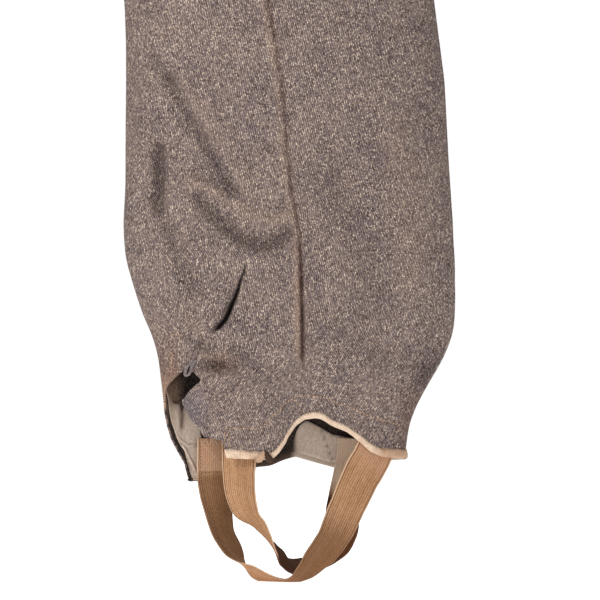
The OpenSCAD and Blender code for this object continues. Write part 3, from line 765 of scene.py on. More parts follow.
def lower_front(side, fine):
    cols = int(210 * fine)
    q = np.concatenate([np.linspace(0, 0.42, int(142 * fine), endpoint=False), np.linspace(0.42, 1, int(70 * fine))])
    p = np.linspace(0, 1, cols + 1)
    low = hem(p, front_angle, HEM_FRONT)
    z = mix(low[None], SPLIT_Z, q[:, None])
    p = np.broadcast_to(p, z.shape)
    ang = front_angle(p, z)
    P = leg_skin(z, ang)
    n = unit(stack(cosd(ang) / leg_a(z), -sind(ang) / leg_b(z), 0 * z))
    h, pull, brown, dark, wear = relief_front(P[..., 0], z, side)
    x = P[..., 0]
    face = ease(sind(ang) * 2.2)
    h = h * face * ease((SPLIT_Z - z) / 60) * mix(1, ease((1 - p) / 0.08), ease((z - SLIT_TOP + 8) / 16))
    h = h + seam_dip(p, 0.012) * (z > SLIT_TOP - 4)
    P = P + n * h[..., None]
    P[..., 0] += pull * face
    # Painted shade: browner along the right side and the left side above the slit, a brown and dark dip above the slit,
    # and dark at the right hem corner.
    brown = np.maximum(brown, 0.9 * ease((x - 276) / 22) * ease((178 - z) / 60))
    brown = np.maximum(brown, 0.55 * ease((104 - x) / 10) * np.exp(-((z - 178) / 26) ** 2))
    brown = np.maximum(brown, 1.0 * (side > 0) * np.exp(-((x - 140) / 13) ** 2 - ((z - 175) / 8) ** 2)
                       * (0.75 + 0.35 * ripple(x, z, 77, 8)))
    dark = np.maximum(dark, 0.7 * (side > 0) * np.exp(-((x - 137) / 10) ** 2 - ((z - 174) / 5.5) ** 2)
                      * (0.8 + 0.4 * ripple(x, z, 78, 6)))
    dark = np.maximum(dark, 0.4 * ease((x - 290) / 14) * np.exp(-((z - 170) / 18) ** 2))
    cool = 0.9 * ease((136 - x) / 20) * np.exp(-((z - 140) / 15) ** 2)
    return Panel(P, n, int(0.617 * cols), np.stack([brown, cool, 0 * x, dark, wear], -1))


def lower_back(side, fine):
    cols = int(150 * fine)
    q = np.concatenate([np.linspace(0, 0.42, int(90 * fine), endpoint=False), np.linspace(0.42, 1, int(50 * fine))])
    p = np.linspace(0, 1, cols + 1)
    low = hem(p, back_angle, HEM_BACK)
    z = mix(low[None], SPLIT_Z, q[:, None])
    p = np.broadcast_to(p, z.shape)
    ang = back_angle(p, z)
    P = leg_skin(z, ang)
    n = unit(stack(cosd(ang) / leg_a(z), -sind(ang) / leg_b(z), 0 * z))
    h = relief_back(P[..., 0], z, side) * ease(-sind(ang) * 2.2) * ease((SPLIT_Z - z) / 60)
    h = h + seam_dip(p, 0.01) * (z > SLIT_TOP - 4)
    P = P + n * h[..., None]
    # Browner, and a paler tan lower down, near the inner side at the slit's top; the pale tone also lightens the inside
    # there.
    near = ease((112 - P[..., 0]) / 10)
    brown, pale = 0.6 * near * np.exp(-((z - 165) / 34) ** 2), 0.9 * near * np.exp(-((z - 150) / 16) ** 2)
    return Panel(P, n, int(0.57 * cols), np.stack([brown, 0 * brown, 0 * brown, 0 * brown, pale], -1))


def wool_sheet(mesh, panel, thick=2.0):
    mesh.sheet(panel.P, panel.P - panel.N * thick, panel.uv, panel.tint, True)
    return mesh


TAPE_PROFILE = ((0.1, 1.02), (0.8, 1.0), (1.3, 0.84), (1.5, 0.5), (1.25, 0.16), (0.6, -0.12), (-1.0, -0.24),
                (-2.6, -0.12), (-3.25, 0.16), (-3.5, 0.5), (-3.3, 0.84), (-2.8, 1.0), (-2.1, 1.02))


def tape_frame(panel, height):
    """Edge points, outward and upward directions, and the tape's height along a panel's lower edge."""
    E, N = panel.P[0], panel.N[0]
    up = unit(panel.P[3] - panel.P[0])
    N = unit(N - (N * up).sum(-1, keepdims=True) * up)
    return E, N, up, curve(E[:, 0], height)


def tape_edge(mesh, panel, height, tone):
    """Tape folded over a panel's lower edge."""
    E, N, up, high = tape_frame(panel, height)
    x, z = E[:, 0], E[:, 2]
    h = high + 0.2 * ripple(x, z, 71, 9)
    puff = 0.18 * ripple(x, z, 72, 6) + 0.1
    rows, core = [], []
    for out, rise in TAPE_PROFILE:
        o = out + np.sign(out) * puff * (abs(rise - 0.5) < 0.4)
        rows.append(E + N * (o + 0 * x)[:, None] + up * (h * rise)[:, None])
        core.append(E + N * (0.05 if out > -1 else -2.05) + up * (h * min(max(rise, 0.03), 0.93))[:, None])
    O = np.array(rows)
    return mesh.sheet(O, np.array(core), np.stack([arc(O, 0), arc(O, 0, 0)], -1), tone(O, N[None] * 0 + N))


def stitches(mesh, path, normals, length, gap, radius, lift=0.25, wander=0.0):
    """A row of single stitches along a path that lies on cloth."""
    P = np.asarray(path, float)
    N = np.asarray(normals, float)
    run = np.concatenate([[0], np.cumsum(np.linalg.norm(np.diff(P, axis=0), axis=1))])
    starts = np.arange(gap / 2, run[-1] - length, length + gap)
    if not len(starts):
        starts = np.array([0.0])
    t = np.linspace(0, 1, 5)
    for s in starts:
        at = s + rng.uniform(-0.2, 0.2) * gap + t * length * rng.uniform(0.85, 1.1)
        c = np.stack([np.interp(at, run, P[:, k]) for k in range(3)], -1)
        n = unit(np.stack([np.interp(at, run, N[:, k]) for k in range(3)], -1))
        side = unit(np.cross(n, np.gradient(c, axis=0)))
        c = c + n * (lift + radius * 1.2 * (np.sin(t * math.pi) - 0.6))[:, None] + side * rng.uniform(-1, 1) * wander
        mesh.tube(c, radius * np.array([0.45, 0.9, 1.0, 0.9, 0.45]), 6, 0.8, n[2])
    return mesh


def panel_line(panel, pts, step=1.2, lift=0.1):
    """Points and normals on a panel along a line of (x, z) points."""
    pts = np.array(pts, float)
    run = np.concatenate([[0], np.cumsum(np.linalg.norm(np.diff(pts, axis=0), axis=1))])
    at = np.arange(0, run[-1] + step, step)
    got = [panel.at(np.interp(a, run, pts[:, 0]), np.interp(a, run, pts[:, 1]), lift) for a in at]
    return np.array([g[0] for g in got]), np.array([g[1] for g in got])


# ---- Stirrup straps ----
STRAPS = {
    "outer": ([[-0.73, 12, 115], [-0.73, 11, 99], [-0.73, 11, 84], [-0.71, 13, 69], [-0.69, 14.5, 55.7],
               [-0.647, 16.5, 39], [-0.572, 17, 26.5], [-0.505, 15.5, 17], [-0.425, 13, 9.6], [-0.309, 10, 4.8],
               [-0.163, 4.5, 1.6], [-0.03, -1, 0.8], [0.066, -6, 3.6], [0.137, -10, 9.8], [0.25, -16, 22],
               [0.372, -20, 38], [0.48, -21, 59], [0.608, -18.4, 84], [0.71, -15.5, 100], [0.78, -13, 114]],
              [[0.92, 0.38, 0], [0.92, 0.38, 0], [0.92, 0.38, 0], [0.86, 0.5, 0], [0.73, 0.68, 0], [0.6, 0.78, -0.05],
               [0.62, 0.77, -0.16], [0.54, 0.7, -0.42], [0.38, 0.76, -0.5], [0.29, 0.82, -0.46], [0.2, 0.94, -0.25],
               [0.25, 0.95, -0.12], [0.45, 0.86, -0.12], [0.62, 0.77, -0.15], [0.86, 0.45, -0.05], [0.9, 0.35, 0.15],
               [0.95, 0.25, 0.2], [0.9, 0.4, 0], [0.88, 0.45, 0], [0.85, 0.5, 0]]),
    "inner": ([[-0.50, -19, 115], [-0.50, -19, 100], [-0.50, -19.5, 84], [-0.482, -21, 69.4], [-0.427, -20, 55.3],
               [-0.332, -16, 46.6], [-0.263, -12, 38], [-0.19, -7, 27.8], [-0.126, -1, 20], [-0.011, 6, 13],
               [0.145, 15, 13.6], [0.305, 22, 18], [0.395, 24.5, 26], [0.435, 25, 38], [0.455, 24, 55], [0.52, 19, 84],
               [0.555, 18.6, 100], [0.565, 18, 115]],
              [[0.94, -0.35, 0], [0.92, -0.4, 0], [0.88, -0.5, 0], [0.8, -0.6, 0], [0.68, -0.72, 0.05],
               [0.3, -0.92, 0.2], [0.18, -0.97, 0.1], [0, -1, 0], [-0.2, -0.93, -0.15], [-0.18, -0.94, -0.25],
               [0, -0.94, -0.32], [0.25, -0.9, -0.3], [0.6, -0.75, -0.2], [0.85, -0.5, -0.05], [0.95, -0.35, 0],
               [1, -0.35, 0], [1, -0.35, 0], [1, -0.35, 0]]),
}
STRAP_W, STRAP_T = 30, 1.6


def strap_tone(which, c, w, sx, length):
    """The outer strap's raw end is lighter, with painted light on its upper right part, painted shade on its left part
    and darker towards the bottom right; the inner strap has painted shade under the foot and painted light on its upper
    right part.
    """
    x, z = c[:, 0], c[:, 2]
    if which == "outer":
        # Lighter raw end, and painted light on the upper right part.
        cool = 0.85 * ease((27 - length) / 2) + 0.5 * ease((z - 84) / 20) * (x > 230)
        # Painted shade on the left part below the end; browner towards the bottom right.
        brown = 0.62 * ease((length - 26) / 6) * ease((162 - x) / 9) + 0.8 * ease((x - 180) / 30) * ease((66 - z) / 36)
        return shades(z, cool=cool, brown=brown)[:, None] + 0 * sx[None, :, None]
    # Painted shade under the foot; painted light on the upper right part.
    dark = ease((x - 181) / 3) * ease((72 - z) / 10) * (1 + 0.15 * ease((x - 205) / 10))
    return shades(sx[None] + 0 * z[:, None], dark=dark[:, None], wear=0.8 * (ease((z - 62) / 20) * (x > 215))[:, None])


def strap(mesh, which, steps=190, around=44):
    path, across = STRAPS[which]
    t = np.linspace(0, 1, steps)
    c = spline(path, t)
    c = stack(leg_c(HEM_Z) + c[:, 0] * HEM_A, c[:, 1], c[:, 2])
    run = unit(np.gradient(c, axis=0))
    raw = spline(across, t)
    w = unit(raw - (raw * run).sum(-1, keepdims=True) * run)
    up = np.cross(run, w)
    a = np.linspace(0, 2 * math.pi, around, endpoint=False)
    sx = np.sign(np.cos(a)) * np.abs(np.cos(a)) ** 0.45
    sy = np.sign(np.sin(a)) * np.abs(np.sin(a)) ** 0.7
    length = np.concatenate([[0], np.cumsum(np.linalg.norm(np.diff(c, axis=0), axis=1))])
    spread = 0.17 * ease((length - length[-1] + 62) / 40) * (which == "outer")
    wide = STRAP_W / 2 * (1 + spread) + 0.25 * ripple(length, 0, 91, 14)
    cup = 0.35 * ripple(length, 0, 92, 40)[:, None] * (sx[None] ** 2 - 0.4)
    thick = STRAP_T / 2 * (1 + 0.25 * np.abs(sx[None]) ** 10)
    ring = (c[:, None] + w[:, None] * (sx[None] * wide[:, None])[..., None]
            + up[:, None] * (sy[None] * thick + cup)[..., None])
    uv = np.stack([np.broadcast_to(sx * STRAP_W / 2, ring.shape[:2]), np.broadcast_to(length[:, None], ring.shape[:2])], -1)
    mesh.loops(ring, uv, strap_tone(which, c, w, sx, length))
    return c, w, up, length


def strap_line(frame_of, points, lift):
    """Points on a strap's face: (share of half width, distance from the start), on its face towards -up."""
    c, w, up, length = frame_of
    out, nor = [], []
    for k, d in points:
        at = [np.interp(d, length, c[:, i]) for i in range(3)]
        ww = unit(np.array([np.interp(d, length, w[:, i]) for i in range(3)]))
        uu = unit(np.array([np.interp(d, length, up[:, i]) for i in range(3)]))
        out.append(np.array(at) + ww * k * STRAP_W / 2 + uu * lift)
        nor.append(uu * np.sign(lift))
    return np.array(out), np.array(nor)


def dense(points, n=10):
    pts = np.array(points, float)
    return np.concatenate([mix(pts[k], pts[k + 1], np.linspace(0, 1, n, endpoint=False)[:, None])
                           for k in range(len(pts) - 1)] + [pts[-1:]])


# ---- Build both legs below the knee ----
PRICK = [[143.4, 123.8], [172.2, 123.8], [180.6, 132.6], [185.8, 136.6], [194.6, 146.2], [205.4, 151], [221.8, 149.4],
         [240.2, 143], [249.8, 138.2], [263.4, 132.6], [285, 126.2]]
FRONT_TAPE = [[120, 6], [146, 6.2], [172, 5], [186, 4.2], [240, 4.2], [262, 5.2], [285, 6], [296, 6]]
BACK_TAPE = [[104, 1.6], [134, 1.8], [150, 4.5], [296, 4.5]]
FACING_TOP = [[120, 95], [150, 95], [190, 99], [197, 102], [199.5, 109], [201.5, 116], [204.5, 122], [208.2, 126.5],
              [212.2, 129.4], [222, 124.5], [233.8, 117.5], [250, 115], [296, 113]]
SLIT_SPAN = 0.345      # share of the back panel that the slit facing covers


def front_tape_tone(P, N):
    x = P[..., 0]
    brown = 0.7 * ease((x - 258) / 16) + 0.35 * ease((186 - x) / 8) * ease((x - 160) / 8)
    return shades(x, brown=brown + 0.25 * np.abs(ripple(x, P[..., 2], 83, 13)))


def back_tape_tone(P, N):
    x = P[..., 0]
    # Painted shade on the left part, behind the front panel; greyer to the right.
    dark = 0.92 * ease((202 - x) / 6)
    return shades(x, dark=dark, cool=0.75 * (x > 196), brown=0.3 + 0 * x)


def front_facing(p, q, d):
    z = hem(p, front_angle, HEM_FRONT) + mix(6.2, 20, q)
    return leg_skin(z, front_angle(p, z), d)


def back_facing(p, q, d):
    r = mix(SLIT_SPAN, 1, p)
    low = hem(r, back_angle, HEM_BACK)
    top = curve(leg_skin(low, back_angle(r, low))[..., 0], FACING_TOP)
    z = mix(low + 3.6, np.maximum(top, low + 5.5), q)
    return leg_skin(z, back_angle(r, z), d + 0.9 * (1 - q) ** 4)


def slit_facing(p, q, d):
    r = mix(mix(0.028, 0.05, q), SLIT_SPAN, p)
    z = mix(hem(r, back_angle, HEM_BACK) + 0.8, 157 - 12.5 * ease(p / 0.55) - 1.5 * p, q)
    return leg_skin(z, back_angle(r, z), d)


def slit_facing_wave(P):
    """One deep wrinkle beside the slit, a cross seam and a slanted one."""
    x, z = P[..., 0], P[..., 2]
    h = 0.4 * ripple(x, z, 53, 22)
    for line, amp, width in WRINKLES:
        h = h - amp * np.exp(-(beside(x, z, line)[0] / width) ** 2)
    return h


def slit_facing_tone(P):
    x, z = P[..., 0], P[..., 2]
    d = np.abs(beside(x, z, [[107.5, 146], [108.6, 134], [108.4, 124.5]])[0])
    # Brown: painted shade along the deep wrinkle and at the top, below the opening.
    brown = 0.9 * np.exp(-(d / 1.9) ** 2) + 0.8 * ease((z - 138) / 8)
    # Dark: the seam lines, and painted shade deep in the wrinkle.
    seam = np.minimum(np.abs(beside(x, z, SEAM_A)[0]), np.abs(beside(x, z, SEAM_B)[0]))
    return shades(x, brown=brown, dark=0.5 * np.exp(-(seam / 0.45) ** 2) + 0.45 * np.exp(-(d / 1.1) ** 2)
                  * ease((z - 122) / 8))


def back_facing_tone(P):
    x, z = P[..., 0], P[..., 2]
    d = np.abs(beside(x, z, [[222, 121], [224.2, 115], [227, 107], [231, 97]])[0])
    # A dark seam line, and painted shade on the left part behind the front panel; browner to the right.
    dark = np.maximum(0.6 * np.exp(-(d / 0.55) ** 2), 0.93 * ease((203 - x) / 5))
    return shades(x, dark=dark, brown=0.35 * ease((x - 252) / 30))


SEAM_A = [[106, 114.5], [112, 110.6], [118, 110.2], [126, 114]]
SEAM_B = [[110, 108.4], [113, 102], [118, 92], [122, 82]]
WRINKLES = (([[107.5, 146], [108.6, 134], [108.4, 124.5]], -0.5, 1.7), ([[103.5, 142], [104.4, 124]], 1.3, 2.2),
            (SEAM_A, 0.9, 0.9), ([[107, 112.4], [113, 108.4], [120, 108.2]], -0.8, 0.9), (SEAM_B, 0.8, 0.8))


def leg_below_knee(name, side, fine):
    thigh, shin, stirrup = f"thigh_{name}", f"shin_{name}", f"stirrup_{name}"
    front, back = lower_front(side, fine), lower_back(side, fine)

    def make(mesh, piece, material, nodes=(), bend=None):
        finish_piece(mesh.build(f"{piece}_{name}", material, side), shin, bend, [f"{n}_{name}" for n in nodes])

    knee = (thigh, shin, 560, 400)
    make(wool_sheet(Mesh(), front), "leg_front", WOOL, ["shin_front", "thigh_front"], bend=knee)
    make(wool_sheet(Mesh(), back), "leg_back", WOOL, ["shin_back", "thigh_back"], bend=knee)
    make(tape_edge(Mesh(), front, FRONT_TAPE, front_tape_tone), "hem_tape_front", TAPE, ["hem_binding_front"])
    make(tape_edge(Mesh(), back, BACK_TAPE, back_tape_tone), "hem_tape_back", TAPE, ["hem_binding_back"])

    # Stitches along both tapes, on their outer and inner faces
    m = Mesh()
    for panel, height in ((front, FRONT_TAPE), (back, BACK_TAPE)):
        E, N, up, high = tape_frame(panel, height)
        for lift in (1.34, -3.34):
            stitches(m, E + up * high[:, None] * 0.86 + N * lift, N * np.sign(lift), 1.5, 1.0, 0.22, 0.08)
    make(m, "tape_stitches", THREAD_DARK)

    # The tape's end is bunched in the corner of the arch
    m = Mesh()
    for path, radius, brown in (([[169, 98], [172, 99.5], [174.4, 102.6], [175.4, 106.2]], [2.0, 2.7, 2.5, 0.8], 0.8),
                                ([[175.4, 106.2], [177.2, 103], [179.6, 99.6], [183, 97.6]], [0.9, 2.6, 2.8, 1.5], 2.3)):
        t = np.linspace(0, 1, 18)
        xz = spline(path, t)
        yy = np.array([front.at(a, b)[0][1] for a, b in xz]) - 2.6
        n0 = m.n
        m.tube(stack(xz[:, 0], yy, xz[:, 1]), np.interp(t, np.linspace(0, 1, 4), radius) * (1 + 0.12 * ripple(t * 20, 0, 84, 5)),
               12, 0.7, np.array([0.2, 1, 0]))
        # Browner tape in the fold; the second half also gets painted shade.
        m.tint[-1][:, 0], m.tint[-1][:, 3] = min(brown, 1), max(brown - 1, 0) * 0.7
    make(m, "tape_fold", TAPE)

    # Prick stitches that hold the facing, and the rows beside the slit
    m = Mesh()
    P, N = panel_line(front, PRICK)
    stitches(m, P, N, 1.3, 1.7, 0.42, 0.25, 0.3)
    for line in ([[147, 122.5], [148, 108]], [[101, 199.5], [110.4, 198]], [[143.6, 122], [144.6, 108.5]]):
        P, N = panel_line(front, line)
        stitches(m, P, N, 1.5, 1.5, 0.36, 0.2, 0.2)
    P, N = panel_line(back if back.P[..., 0].min() > 90 else front, [[100.4, 197.5], [101.4, 168]])
    stitches(m, P, N, 1.6, 1.3, 0.34, 0.2, 0.15)
    make(m, "facing_stitches", THREAD_TAN)

    m = plain_sheet(Mesh(), front_facing, 70, 6, 3.2, 4.0, soft(0.3, 20, 51))
    make(m, "facing_front", COTTON, ["hem_facing_front"])
    m = plain_sheet(Mesh(), back_facing, 110, 10, 3.1, 3.9, soft(0.35, 20, 52), back_facing_tone)
    make(m, "facing_back", COTTON, ["hem_facing_back"])
    m = plain_sheet(Mesh(), slit_facing, 60, 60, 2.7, 3.5, slit_facing_wave, slit_facing_tone)
    make(m, "facing_slit", COTTON, ["slit_facing"])

    # Grey thread loop at the top of the slit
    m = Mesh()
    for shift in (0, 1.1):
        xz = spline([[118.6, 178], [114.6, 175], [112, 170.6], [111.6, 167], [113.6, 166.2], [115.8, 169.4], [117, 173.4],
                     [119.6, 178.2]], np.linspace(0, 1, 40))
        yy = -leg_b(SLIT_TOP) * sind(140) - 1.0 - 1.4 * np.sin(np.linspace(0, math.pi, 40))
        m.tube(stack(xz[:, 0] + shift, yy - shift * 0.4, xz[:, 1] + 0.5 * shift), 0.8, 8)
    make(m, "bar_tack", THREAD_GREY, ["slit_bar_tack"])

    # Stirrup straps and the stitches on the end that shows
    mo, mi = Mesh(), Mesh()
    frame_a, _ = strap(mo, "outer"), strap(mi, "inner")
    swing = (shin, stirrup, 100, 66)
    make(mo, "strap_outer", ELASTIC, ["stirrup_strap_outer", "strap_ends"], swing)
    make(mi, "strap_inner", ELASTIC, ["stirrup_strap_inner", "strap_ends"], swing)
    m, tan = Mesh(), Mesh()
    face = STRAP_T / 2 + 0.15
    P, N = strap_line(frame_a, dense([[-0.82, 27], [0.82, 27]]), face)
    stitches(m, P, N, 1.8, 1.2, 0.24, 0.1)
    P, N = strap_line(frame_a, dense([[-0.85, 2.5], [-0.8, 27], [-0.74, 112]], 30), face)
    stitches(m, P, N, 1.7, 1.1, 0.26, 0.12)
    for ends in ([[-0.82, 26], [0.82, 3]], [[-0.82, 3], [0.82, 26]], [[-0.82, 2.5], [0.82, 2.5]]):
        P, N = strap_line(frame_a, dense(ends), face)
        stitches(tan, P, N, 1.8, 0.7, 0.32, 0.16)
    for k in range(16):
        a, lean = rng.uniform(-0.5, 0.9), rng.uniform(-0.25, 0.25)
        c, n = strap_line(frame_a, dense([[a, -0.6], [a + lean, 2.5 + 4 * rng.random()]], 6), face)
        tan.tube(c + n * np.sin(np.linspace(0, 3, len(c)))[:, None] * 0.8, 0.16, 5)
    make(m, "box_stitches", THREAD_DARK)
    make(tan, "box_threads", THREAD_PALE)


for name, side, fine in (("left", 1, 1.0), ("right", -1, 0.6)):
    leg_below_knee(name, side, fine)


# ---- Hips and thighs ----
def upper_front(side, part):
    """part: all, or below and beside the fly opening."""
    m = Mesh()
    zs = {"all": (SPLIT_Z, BAND_Z), "below": (SPLIT_Z, FLY_Z), "beside": (FLY_Z, BAND_Z)}
    for piece in (["all"] if part == "all" else ["below", "beside"]):
        z0, z1 = zs[piece]
        rows = int((z1 - z0) / 4.5)
        p, q = np.meshgrid(np.linspace(0, 1, 75), np.linspace(0, 1, rows + 1))
        z = mix(z0, z1, q)
        first = front_share(41.0, z) if piece == "beside" else 0.0
        share = mix(first, 1, p)
        seam = 180 - inner_seam(z)
        lowleg = leg_point(z, mix(180 - seam * (1 - share), 6, share))
        P = mix(lowleg, waist_point(z, 86 * share, False), hip_mix(z)[..., None])
        n = grid_normal(P)
        n = n * np.sign((n * (P - [70, 0, 0])).sum())
        x = P[..., 0]
        d, _ = beside(x, z, [[165, 640], [150, 760], [142, 830], [118, 1018]])
        h = 1.2 * ripple(x, z, 61 + side, 75) + 0.4 * ripple(x, z, 62 + side, 24) + 2.0 * np.exp(-np.abs(d) / 9)
        h = h * ease(p / 0.08 + (z > 860)) * ease((1 - p) / 0.06) * ease((BAND_Z - z) / 30) * ease((z - SPLIT_Z) / 60)
        h = h - 1.1 * np.exp(-((1 - p) / 0.012) ** 2) - 1.1 * np.exp(-(p / 0.012) ** 2) * (z < CROTCH_Z)
        P = P + n * h[..., None]
        m.sheet(P, P - n * 2, np.stack([arc(P, 40), z], -1), None, True)
    return m


def upper_back(side):
    m = Mesh()
    p, q = np.meshgrid(np.linspace(0, 1, 85), np.linspace(0, 1, 84))
    z = mix(SPLIT_Z, BAND_Z, q)
    P = mix(leg_point(z, mix(inner_seam(z), 366, p)), waist_point(z, 94 * p, True), hip_mix(z)[..., None])
    n = grid_normal(P)
    n = n * np.sign((n * (P - [70, 0, 0])).sum())
    x = P[..., 0]
    d, _ = beside(x, z, [[165, 640], [150, 760], [142, 850]])
    h = 1.3 * ripple(x, z, 65 + side, 80) + 0.5 * ripple(x, z, 66 + side, 26) + 1.8 * np.exp(-np.abs(d) / 9) * (z < 900)
    h = h * ease(p / 0.06) * ease((1 - p) / 0.06) * ease((BAND_Z - z) / 30) * ease((z - SPLIT_Z) / 60)
    h = h - 1.1 * np.exp(-((1 - p) / 0.012) ** 2) - 1.1 * np.exp(-(p / 0.012) ** 2)
    P = P + n * h[..., None]
    m.sheet(P, P - n * 2, np.stack([arc(P, 42), z], -1), None, True)
    return m


for name, side in (("left", 1), ("right", -1)):
    thigh = f"thigh_{name}"
    ob = upper_front(side, "cut" if side > 0 else "all").build(f"hip_front_cloth_{name}", WOOL, side)
    finish_piece(ob, bend=("hips", thigh, 815, 655), nodes=[f"hip_front_{name}"])
    ob = upper_back(side).build(f"hip_back_cloth_{name}", WOOL, side)
    finish_piece(ob, bend=("hips", thigh, 815, 655), nodes=[f"hip_back_{name}"])

    m = Mesh()
    def bag(p, q, d):
        z = mix(CROTCH_Z - 8, BAND_Z - 4, q)
        return hip_front_point(z, mix(0.88, mix(0.34, 0.5, q), p), d)
    plain_sheet(m, bag, 30, 40, 9, 10, soft(0.6, 30, 54))
    finish_piece(m.build(f"pocket_bag_cloth_{name}", COTTON, side), "hips", nodes=[f"pocket_bag_{name}"])
    m = Mesh()
    def welt(p, q, d):
        z = mix(BAND_Z - 142, BAND_Z - 3, q)
        f = mix(0.93, 0.60, q)
        return hip_front_point(z, mix(f, f - 0.05, p), d)
    plain_sheet(m, welt, 8, 60, -1.9, -0.2)
    finish_piece(m.build(f"pocket_welt_cloth_{name}", WOOL, side), "hips", nodes=[f"pocket_welt_{name}"])


# ---- Waistband, fly and fittings ----
def band(name, t0, t1, z0, z1, outer, inner, material, body, node):
    m = Mesh()
    cols = max(12, int(abs(t1 - t0) * 0.9))
    skin = lambda p, q, d: band_point(mix(t0, t1, p), mix(z0, z1, q), d)
    plain_sheet(m, skin, cols, 12, outer, inner, soft(0.35, 30, 57))
    return finish_piece(m.build(name, material), body, nodes=[node])


turn = lambda x: math.degrees(math.asin(x / WAIST_A))
band("waistband_cloth", turn(FLY_X + 1), 360 - turn(12), BAND_Z + 0.2, WAIST_Z, 0, 3, WOOL, "hips", "waistband")
band("waistband_lining_cloth", turn(FLY_X + 4), 360 - turn(6), BAND_Z + 2, WAIST_Z - 2, 3.2, 4.2, COTTON, "hips",
     "waistband_lining")
band("waistband_tab_cloth", -turn(26), turn(FLY_X), BAND_Z + 0.2, WAIST_Z, -4.6, -2.4, WOOL, "fly", "waistband_tab")

m = Mesh()
def flap_skin(p, q, d):
    z = mix(FLY_Z, BAND_Z - 1, q)
    return hip_front_point(z, front_share(mix(FLY_X - 0.6, 1, p), z), d)
plain_sheet(m, flap_skin, 16, 50, 0, 2)
finish_piece(m.build("fly_flap_cloth", WOOL), "fly", nodes=["fly_flap"])
m = Mesh()
def shield_skin(p, q, d):
    z = mix(FLY_Z - 12, BAND_Z - 1, q)
    x = mix(FLY_X - 4, -26, p)
    at = hip_front_point(z, front_share(np.abs(x) + 1.3, z), d)
    return stack(x, at[..., 1], z)
plain_sheet(m, shield_skin, 20, 50, 7.2, 8.8)
finish_piece(m.build("fly_shield_cloth", WOOL), "hips", nodes=["fly_shield"])

# Belt loops
m = Mesh()
for t0 in (30, 65, 120, 158, 202, 240, 295, 330):
    n = unit(stack(WAIST_B * sind(t0), -WAIST_A * cosd(t0), 0.0))
    along = unit(stack(WAIST_A * cosd(t0), WAIST_B * sind(t0), 0.0))
    base = band_point(float(t0), WAIST_Z - 20.0, -0.35)
    s = np.linspace(0, 1, 40)
    zz = mix(-18.4, 18.4, s)
    out = 4.9 * ease(np.minimum(s, 1 - s) / 0.12) + 0.7
    p, q = np.meshgrid(np.linspace(-5.6, 5.6, 9), np.arange(40))
    O = base + along * p[..., None] + n * (out[q] + 0.3 * (1 - (p / 5.6) ** 4))[..., None] + stack(0 * p, 0 * p, zz[q])
    I = O - n * 1.1
    m.sheet(O, I, np.stack([p, zz[q]], -1))
finish_piece(m.build("belt_loop_cloth", WOOL), "hips", nodes=["belt_loops"])

# Back pocket on the wearer's right, and the cinch
m = Mesh()
def pocket_flap_skin(p, q, d):
    dip = 12 * (1 - np.abs(2 * p - 1))
    z = mix(FLAP_Z - FLAP_H - dip, FLAP_Z, q)
    return hip_back_point(z, back_share(FLAP_X + FLAP_W * (p - 0.5), z), d)
plain_sheet(m, pocket_flap_skin, 40, 22, -2.9, -1.0)
finish_piece(m.build("pocket_flap_cloth", WOOL, -1), "pocket_flap", nodes=["back_pocket_flap"])
m = Mesh()
def pocket_bag_skin(p, q, d):
    z = mix(FLAP_Z - 130, FLAP_Z - 6, q)
    return hip_back_point(z, back_share(FLAP_X + (FLAP_W - 8) * (p - 0.5), z), d)
plain_sheet(m, pocket_bag_skin, 30, 30, 7, 8.2, soft(0.5, 30, 58))
finish_piece(m.build("back_pocket_bag_cloth", COTTON, -1), "hips", nodes=["back_pocket_bag"])


def cinch_skin(x0, x1):
    def skin(p, q, d):
        x, z = mix(x0, x1, p), CINCH_Z + (q - 0.5) * CINCH_W
        y = hip_back_point(z, back_share(np.abs(x) + 0.6, z), d)[..., 1]
        return stack(x, y, z)
    return skin


for label, x0, x1 in (("left", 15.2, 92), ("right", -92, 7)):
    m = Mesh()
    plain_sheet(m, cinch_skin(x0, x1), 40, 8, -2.6, -0.8)
    if label == "left":
        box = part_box("cinch_buckle")
        y, tilt = (box[0].y + box[1].y) * 500, 0.0
        for z in (-6.2, 6.2):
            a = np.linspace(-0.5 * math.pi, 1.15 * math.pi, 18)
            pts = np.array([[12 - 2.1 * math.sin(b + 0.5 * math.pi) * 0 + 2.1 * math.cos(b) * -1, y - 2.1 * math.sin(b), CINCH_Z + z] for b in a])
            tail = np.array([[18, y - 2.4, CINCH_Z + z]])
            path = np.concatenate([pts, tail * 0 + pts[-1:]])
            p, q = np.meshgrid(np.linspace(-3.6, 3.6, 5), np.arange(len(path)))
            O = path[q] + stack(0 * p, 0 * p, p)
            nrm = unit(path - [12, y, CINCH_Z + z])[q]
            m.sheet(O + nrm * 0.6, O - nrm * 0.6, np.stack([p, q * 1.0], -1))
    finish_piece(m.build(f"cinch_cloth_{label}", WOOL), "hips", nodes=[f"cinch_strap_{label}"])

for node, material, slot in (("waist_stud_cap", STEEL, "steel"), ("waist_stud_post", STEEL, "steel"),
                             ("pocket_stud_cap", STEEL, "steel"), ("pocket_stud_post", STEEL, "steel"),
                             ("cinch_buckle", STEEL, "steel"), ("cinch_prong", STEEL, "steel"),
                             ("fly_buttons", HORN, "horn"), ("brace_buttons_front", HORN, "horn"),
                             ("brace_buttons_back", HORN, "horn")):
    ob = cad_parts[node]
    ob.data.materials.clear()
    ob.data.materials.append(material)


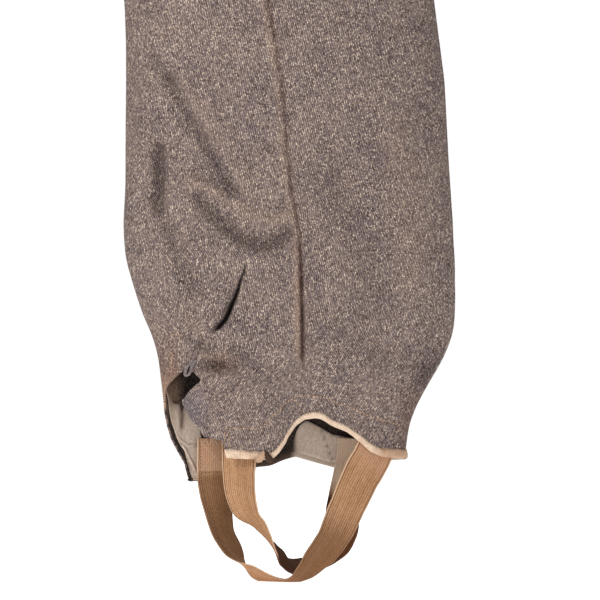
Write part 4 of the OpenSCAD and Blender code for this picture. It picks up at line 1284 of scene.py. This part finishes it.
# ---- Floor, light and camera ----
me = bpy.data.meshes.new("floor")
z = LO.z - 0.0004
me.from_pydata([(-9, -9, z), (9, -9, z), (9, 9, z), (-9, 9, z)], [], [(0, 1, 2, 3)])
s = Shader("floor_pale")
me.materials.append(s.surface(srgb(244, 243, 241), 0.9, **{"Emission Color": srgb(255, 255, 255),
                                                           "Emission Strength": 0.8}))
floor = bpy.data.objects.new("floor", me)
bpy.context.scene.collection.objects.link(floor)

world = bpy.data.worlds.new("studio")
bpy.context.scene.world = world
world.use_nodes = True
wt = world.node_tree
wt.nodes.clear()
path = wt.nodes.new("ShaderNodeLightPath")
seen, glow, pick, out = (wt.nodes.new("ShaderNodeBackground"), wt.nodes.new("ShaderNodeBackground"),
                         wt.nodes.new("ShaderNodeMixShader"), wt.nodes.new("ShaderNodeOutputWorld"))
seen.inputs[0].default_value, seen.inputs[1].default_value = (1, 1, 1, 1), 1.02
glow.inputs[0].default_value, glow.inputs[1].default_value = (1, 0.99, 0.97, 1), 0.27
wt.links.new(path.outputs["Is Camera Ray"], pick.inputs[0])
wt.links.new(glow.outputs[0], pick.inputs[1])
wt.links.new(seen.outputs[0], pick.inputs[2])
wt.links.new(pick.outputs[0], out.inputs[0])

aim = Vector((leg_c(HEM_Z) / 1000 + 0.005, -0.03, HEM_Z / 1000 + 0.125))


def lamp(name, at, size, power, colour=(1, 1, 1)):
    data = bpy.data.lights.new(name, "AREA")
    data.size, data.energy, data.color = size, power, colour
    ob = bpy.data.objects.new(name, data)
    ob.location = aim + Vector(at)
    ob.rotation_mode = "QUATERNION"
    ob.rotation_quaternion = (aim - ob.location).to_track_quat("-Z", "Y")
    bpy.context.scene.collection.objects.link(ob)


lamp("key", (-1.6, -1.75, 1.6), 0.8, 47, (1, 0.985, 0.96))
lamp("fill", (0.8, -3.0, -0.12), 0.9, 24)
lamp("back", (0.8, 2.6, 2.2), 1.8, 60)

camera = bpy.data.objects.new("camera", bpy.data.cameras.new("camera"))
camera.data.lens, camera.data.sensor_width = 450, 36
camera.data.clip_start, camera.data.clip_end = 0.1, 50
camera.location = aim + Vector((0, -6.02, 0))
camera.rotation_mode = "QUATERNION"
camera.rotation_quaternion = Vector((0, 1, 0)).to_track_quat("-Z", "Y")
bpy.context.scene.collection.objects.link(camera)
bpy.context.scene.camera = camera
bpy.context.scene.view_settings.view_transform = "Standard"
